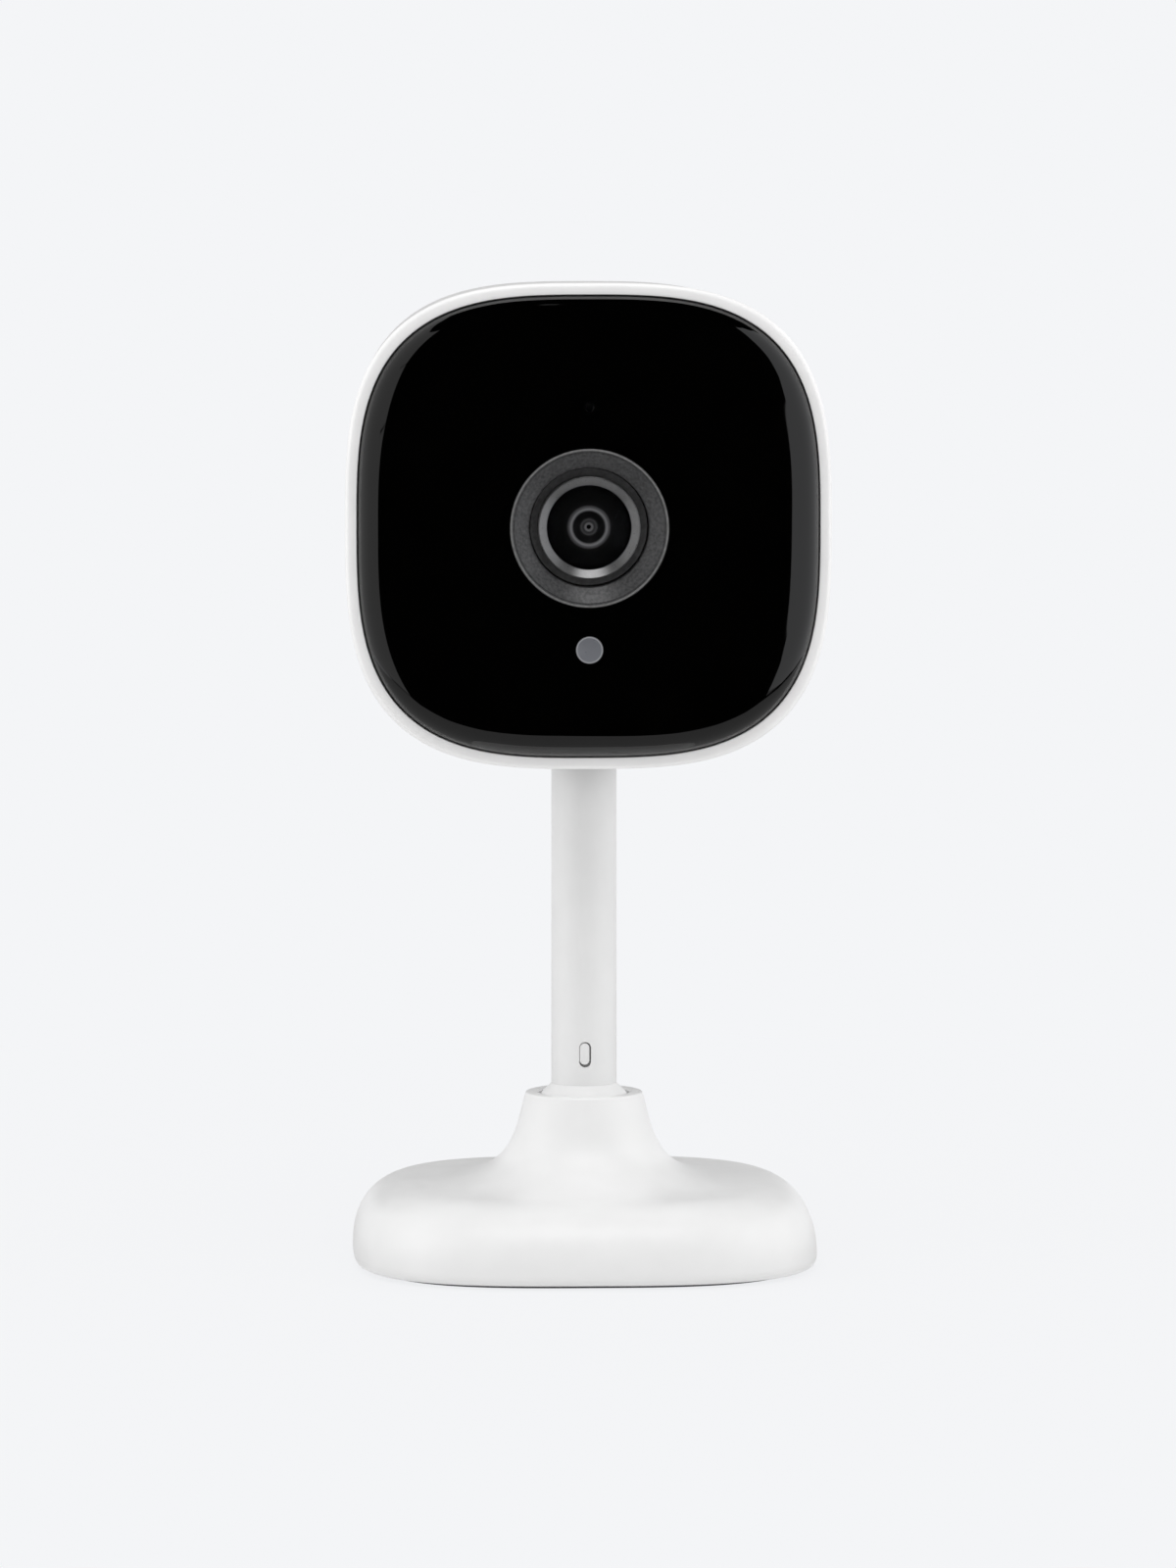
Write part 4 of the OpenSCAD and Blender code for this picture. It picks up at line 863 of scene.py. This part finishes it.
def make_cover():
    """Cover of the base: a low shoulder that sweeps up into the neck, hollow below for weight and plate."""
    shoulder_r = BASE_R - SHOULDER_RUN
    foot, roof = COVER_LOW.z, box_mm("base_weight")[1].z
    seat_r, seat_top = BASE_R - 1.8, box_mm("base_plate")[0].z + 1.7
    cavity_r, journal_bore = BASE_R - 4.1, JOURNAL_R + 0.05
    mouth_r, mouth_z, mouth_edge = FLARE_R + 0.3, TUBE_LOW.z - FLARE_H - 0.4, 0.15
    neck_edge = 0.3
    steps = 40
    profile = [(BASE_R - 0.4, foot), (BASE_R - 0.2, foot + 0.1), (BASE_R - 0.07, foot + 0.4)]
    for a in quarter_turn(steps)[:-1]:
        out, up = math.cos(a) ** (2 / SHOULDER_POWER), math.sin(a) ** (2 / SHOULDER_POWER)
        profile.append((shoulder_r + SHOULDER_RUN * out, WIDEST_Z + (SHOULDER_H - WIDEST_Z) * up))
    sweep = [(shoulder_r, SHOULDER_H), (NECK_R + 1.8, SHOULDER_H + 0.2), (NECK_R + 1.4, SHOULDER_H + 4.9),
             (NECK_R, NECK_TOP - neck_edge)]
    profile += [bezier(sweep, i / steps) for i in range(steps + 1)]
    profile += arc(NECK_R - neck_edge, NECK_TOP - neck_edge, neck_edge, 15, 90, 5)
    profile += [(mouth_r + mouth_edge, NECK_TOP), (mouth_r, NECK_TOP - mouth_edge), (mouth_r, mouth_z),
                (journal_bore, mouth_z), (journal_bore, roof), (NECK_R, roof), (cavity_r, roof),
                (cavity_r, seat_top), (seat_r, seat_top), (seat_r, foot)]
    cover = loft("cover", [base_loop(r, z) for r, z in profile], closed=True)
    stand_in(cover, "base_cover")


def make_foot_pad():
    """Rubber pad with a moulded edge, ring grooves underneath and two holes for wall screws."""
    high = box_mm("foot_pad")[1]
    pad_r, top = high.x, high.z
    mouth_half, bottom_half, depth = 0.35, 0.2, 0.15
    profile = [(AXIS_R, 0.0)]
    for groove_r in (6, 9, 18, 21, 24):
        profile += [(groove_r - mouth_half, 0.0), (groove_r - bottom_half, depth),
                    (groove_r + bottom_half, depth), (groove_r + mouth_half, 0.0)]
    profile += [(pad_r - 0.25, 0.0), (pad_r - 0.07, 0.07), (pad_r, 0.25), (pad_r, top), (AXIS_R, top)]
    pad = loft("pad", [pad_loop(r, z, pad_r) for r, z in profile])
    holes = bmesh.new()
    hole_x, hole_r = 15, 2.3
    for x in (-hole_x, hole_x):
        add_rod(holes, [(hole_r, -1), (hole_r, top + 1)], (x, 0), along="z", count=48)
    combine(pad, holes, "DIFFERENCE")
    stand_in(pad, "foot_pad")


# ------------------------------------------------------------------ back

def make_reset_button():
    """Button with a rounded, slightly dished cap, a flange inside the head and a pin to the switch."""
    low, high = box_mm("reset_button")
    cap_r, flange_r, pin_r = 1.5, 2.3, 1.0
    flange_t, boss_t, gap, edge = 0.8, 1.6, 0.2, 0.3
    flange_y = BACK_IN_Y - boss_t - gap - flange_t
    profile = [(AXIS_R, low.y), (pin_r, low.y), (pin_r, flange_y), (flange_r, flange_y),
               (flange_r, flange_y + flange_t), (cap_r, flange_y + flange_t), (cap_r, high.y - edge)]
    profile += arc(cap_r - edge, high.y - edge, edge, 0, 60, 5)
    profile += [(1.1, high.y), (0.9, high.y - 0.08), (AXIS_R, high.y - 0.15)]
    button = rod("reset_cap", profile, middle("reset_button"), count=96)
    stand_in(button, "reset_button")


make_shell()
window = make_window()
make_lens_ring()
make_barrel()
front_glass, middle_glass = make_glasses()
make_stop()
make_status_light()
make_tube()
make_tongue()
make_knuckle()
make_collar()
make_cover()
make_foot_pad()
make_reset_button()

for node, part in frame["nodes"].items():
    if not part.hide_render:
        paint(part, SLOT_MATERIALS[SLOT_OF[node]])


# ------------------------------------------------------------------ floor and surroundings

BACKDROP = (0.9047, 0.9131, 0.9301)
AMBIENT = 0.7
FLOOR_GREY = 0.78
FLOOR_R = 1.2
FLOOR_DROP = 0.02 * MM      # below the foot pad, so that the two never share a plane
SHADOW_R = 0.05             # the floor's shadow fades from here
SHADOW_END_R = 0.22         # and is gone here
SHADOW_SHARE = 0.1          # of the lit floor in what is seen, where the shadow is full


def seen_directly(nodes, links):
    """1 for rays from the camera and for reflected and refracted ones, 0 for the light's own bounces."""
    path = nodes.new("ShaderNodeLightPath")
    total = path.outputs["Is Camera Ray"]
    for name in ("Is Glossy Ray", "Is Transmission Ray"):
        most = nodes.new("ShaderNodeMath")
        most.operation = "MAXIMUM"
        links.new(total, most.inputs[0])
        links.new(path.outputs[name], most.inputs[1])
        total = most.outputs[0]
    return total


def make_world():
    world = bpy.data.worlds.new("studio")
    world.use_nodes = True
    nodes, links = world.node_tree.nodes, world.node_tree.links
    shown = nodes["Background"]
    shown.inputs["Color"].default_value = (*BACKDROP, 1)
    light = nodes.new("ShaderNodeBackground")
    light.inputs["Color"].default_value = (1, 1, 1, 1)
    light.inputs["Strength"].default_value = AMBIENT
    mix = nodes.new("ShaderNodeMixShader")
    links.new(seen_directly(nodes, links), mix.inputs["Fac"])
    links.new(light.outputs["Background"], mix.inputs[1])
    links.new(shown.outputs["Background"], mix.inputs[2])
    links.new(mix.outputs["Shader"], nodes["World Output"].inputs["Surface"])
    bpy.context.scene.world = world


def floor_material():
    """Backdrop's colour, with a share of lit floor near the middle that carries the shadow."""
    material, nodes, links, lit = node_material("floor")
    lit.inputs["Base Color"].default_value = (FLOOR_GREY, FLOOR_GREY, FLOOR_GREY, 1)
    lit.inputs["Roughness"].default_value = 1.0
    lit.inputs["Specular IOR Level"].default_value = 0.0
    shown = nodes.new("ShaderNodeEmission")
    shown.inputs["Color"].default_value = (*BACKDROP, 1)
    place = nodes.new("ShaderNodeTexCoord")
    reach = nodes.new("ShaderNodeVectorMath")
    reach.operation = "LENGTH"
    links.new(place.outputs["Object"], reach.inputs[0])
    share = nodes.new("ShaderNodeMapRange")
    share.inputs["From Min"].default_value = SHADOW_R
    share.inputs["From Max"].default_value = SHADOW_END_R
    share.inputs["To Min"].default_value = 1.0 - SHADOW_SHARE
    share.inputs["To Max"].default_value = 1.0
    links.new(reach.outputs["Value"], share.inputs["Value"])
    factor = nodes.new("ShaderNodeMath")
    factor.operation = "MULTIPLY"
    links.new(seen_directly(nodes, links), factor.inputs[0])
    links.new(share.outputs["Result"], factor.inputs[1])
    mix = nodes.new("ShaderNodeMixShader")
    links.new(factor.outputs[0], mix.inputs["Fac"])
    links.new(lit.outputs["BSDF"], mix.inputs[1])
    links.new(shown.outputs["Emission"], mix.inputs[2])
    links.new(mix.outputs["Shader"], nodes["Material Output"].inputs["Surface"])
    return material


def make_floor():
    """Pale round floor that melts into the backdrop and keeps a faint shadow round the base."""
    bm = bmesh.new()
    bmesh.ops.create_circle(bm, cap_ends=True, segments=96, radius=FLOOR_R)
    mesh = bpy.data.meshes.new("floor")
    bm.to_mesh(mesh)
    bm.free()
    floor = bpy.data.objects.new("floor", mesh)
    floor.location.z = -FLOOR_DROP
    bpy.context.scene.collection.objects.link(floor)
    paint(floor, floor_material())


# ------------------------------------------------------------------ cards that reflections see

# Cards are placed by the direction in which the window's rounded edge mirrors them, as rows of
# (azimuth, elevation) in degrees: azimuth 0 is straight ahead of the camera's face, 90 its +X side.
CARD_REACH = 1500
CARD_OVER_FLOOR = 2
EDGE_INSET = 3      # from the head's side to the middle of the window's rounded edge
BLACK = 0.0

FRONT_ROWS = (
    ((-57, -37), (-45, -41), (-25, -41), (-12, -37), (0, -30), (12, -37), (25, -41), (40, -42), (54, -39)),
    ((-52, -28), (0, -26), (40, -27)),
    ((-48, -18), (32, -18)),
    ((-44, -10), (22, -10)),
    ((-43, -4), (6, -4)),
    ((-46, 2), (20, 2)),
    ((-53, 11), (36, 9)),
    ((-58, 21), (48, 20)),
    ((-62, 31), (55, 31)),
    ((-67, 45), (59, 45)),
    ((-77, 56), (70, 57)))
TOP_ROWS = (
    ((-180, -3), (-166, 4), (-145, 32), (-120, 47), (-98, 54), (-77, 56), (0, 54), (70, 57), (92, 56),
     (120, 47), (145, 28), (166, 4), (180, -3)),
    ((-180, 45), (-120, 60), (0, 60), (120, 60), (180, 45)),
    ((-180, 75), (0, 75), (180, 75)),
    ((-180, 89), (0, 89), (180, 89)))
LEFT_ROWS = (
    ((-125, -20), (-100, -29), (-75, -35), (-50, -38)),
    ((-150, 5), (-35, 5)),
    ((-150, 30), (-50, 30)),
    ((-140, 58), (-60, 58)))
LEFT_CREASE_ROWS = (
    ((-50, -36), (-75, -33), (-100, -26), (-125, -17)),
    ((-50, -39), (-75, -36), (-100, -28), (-125, -18)))
RIGHT_CREASE_ROWS = (
    ((50, -37), (75, -35), (100, -29), (125, -20), (150, -11)),
    ((50, -40), (75, -38), (100, -31), (125, -21), (150, -12)))
FLOOR_CARD_ENDS = ((-130, 80), (260, 270))      # depth and half width, in millimetres
FLOOR_CARD_Z = 1.0


def card_point(azimuth, elevation):
    """Point that the window's rounded edge mirrors in one direction."""
    a, e = math.radians(azimuth), math.radians(elevation)
    ray = Vector((math.sin(a) * math.cos(e), -math.cos(a) * math.cos(e), math.sin(e)))
    edge = Vector((ray.x, 0, ray.z)).normalized() * (HALF_W - EDGE_INSET)
    start = Vector((0, FACE_Y, LENS_Z)) + edge
    falls = ray.z < -0.01
    reach = min(CARD_REACH, (start.z - CARD_OVER_FLOOR) / -ray.z) if falls else CARD_REACH
    return start + ray * reach


def card_row(directions, steps):
    """Points at even shares of the way along a row of directions."""
    points = []
    for i in range(steps + 1):
        t = i / steps * (len(directions) - 1)
        k = min(int(t), len(directions) - 2)
        (a0, e0), (a1, e1) = directions[k], directions[k + 1]
        points.append(card_point(a0 + (a1 - a0) * (t - k), e0 + (e1 - e0) * (t - k)))
    return points


def make_card(name, rows, grey):
    """Card over rows of points that only reflections see, as stands round something glossy in a studio."""
    material, nodes, links, shader = node_material(name)
    nodes.remove(shader)
    shown = nodes.new("ShaderNodeEmission")
    shown.inputs["Color"].default_value = (grey, grey, grey, 1)
    links.new(shown.outputs["Emission"], nodes["Material Output"].inputs["Surface"])
    count = len(rows[0])
    faces = []
    for j in range(len(rows) - 1):
        for i in range(count - 1):
            k = j * count + i
            faces.append((k, k + 1, k + count + 1, k + count))
    mesh = bpy.data.meshes.new(name)
    mesh.from_pydata([p * MM for row in rows for p in row], [], faces)
    card = bpy.data.objects.new(name, mesh)
    bpy.context.scene.collection.objects.link(card)
    paint(card, material)
    card.visible_camera = False
    card.visible_diffuse = False
    card.visible_transmission = False
    card.visible_shadow = False
    card.visible_volume_scatter = False


def make_aimed_card(name, rows, grey, steps=24):
    make_card(name, [card_row(row, steps) for row in rows], grey)


# ------------------------------------------------------------------ lamps and camera

def make_softbox(name, place, target, size, power, spared=None):
    """Soft lamp that lights all pieces but the spared ones.

    Other glossy pieces mirror it only if some are spared.
    """
    data = bpy.data.lights.new(name, "AREA")
    data.shape = "RECTANGLE"
    data.size, data.size_y = size
    data.energy = power
    lamp = bpy.data.objects.new(name, data)
    bpy.context.scene.collection.objects.link(lamp)
    lamp.location = place
    lamp.rotation_mode = "QUATERNION"
    lamp.rotation_quaternion = (Vector(target) - Vector(place)).to_track_quat("-Z", "Y")
    lamp.visible_glossy = spared is not None
    lamp.visible_camera = False
    lamp.visible_transmission = False
    if spared:
        kept_out = bpy.data.collections.new(name + "_spares")
        for piece in spared:
            kept_out.objects.link(piece)
        for item in kept_out.collection_objects:
            item.light_linking.link_state = "EXCLUDE"
        lamp.light_linking.receiver_collection = kept_out


def make_camera():
    """Camera at the viewing angle of the reference: a little left of the lens and a little above."""
    distance, height, turn = 1.2, 0.1751, math.radians(2.15)
    aim = Vector((0.00049, 0, 0.05767))
    view_height = 0.1884903     # what the picture's long side takes in at the aim
    data = bpy.data.cameras.new("camera")
    data.sensor_width = 36.0
    data.lens = data.sensor_width * distance / view_height
    data.clip_start, data.clip_end = 0.05, 20
    camera = bpy.data.objects.new("camera", data)
    bpy.context.scene.collection.objects.link(camera)
    camera.location = (-math.sin(turn) * distance, -math.cos(turn) * distance, height)
    camera.rotation_mode = "QUATERNION"
    camera.rotation_quaternion = (aim - camera.location).to_track_quat("-Z", "Y")
    bpy.context.scene.camera = camera


make_world()
make_floor()
make_aimed_card("front_card", FRONT_ROWS, BLACK)
make_aimed_card("top_card", TOP_ROWS, BLACK, steps=72)
make_aimed_card("left_card", LEFT_ROWS, 0.68)
floor_rows = [[Vector((x, y, FLOOR_CARD_Z)) for x in (-half_w, half_w)] for y, half_w in FLOOR_CARD_ENDS]
make_card("floor_card", floor_rows, 0.5)
make_aimed_card("left_crease", LEFT_CREASE_ROWS, BLACK)
make_aimed_card("right_crease", RIGHT_CREASE_ROWS, BLACK)
make_softbox("top_box", (0, -0.42, 0.86), (0, 0, 0.06), (0.5, 0.4), 1.95,
             spared=[window, front_glass, middle_glass])
make_softbox("left_box", (-0.75, -0.1, 0.42), (0, 0, 0.04), (0.6, 0.7), 1.9)
make_softbox("right_box", (0.75, -0.1, 0.42), (0, 0, 0.04), (0.6, 0.7), 2.05)
make_softbox("front_box", (-0.1, -1.1, 0.14), (0, 0, 0.07), (1.0, 0.7), 1.45)
make_softbox("back_box", (0, 0.7, 0.55), (0, 0, 0.04), (0.9, 0.5), 0.65)
make_camera()

scene = bpy.context.scene
scene.view_settings.view_transform = "Standard"
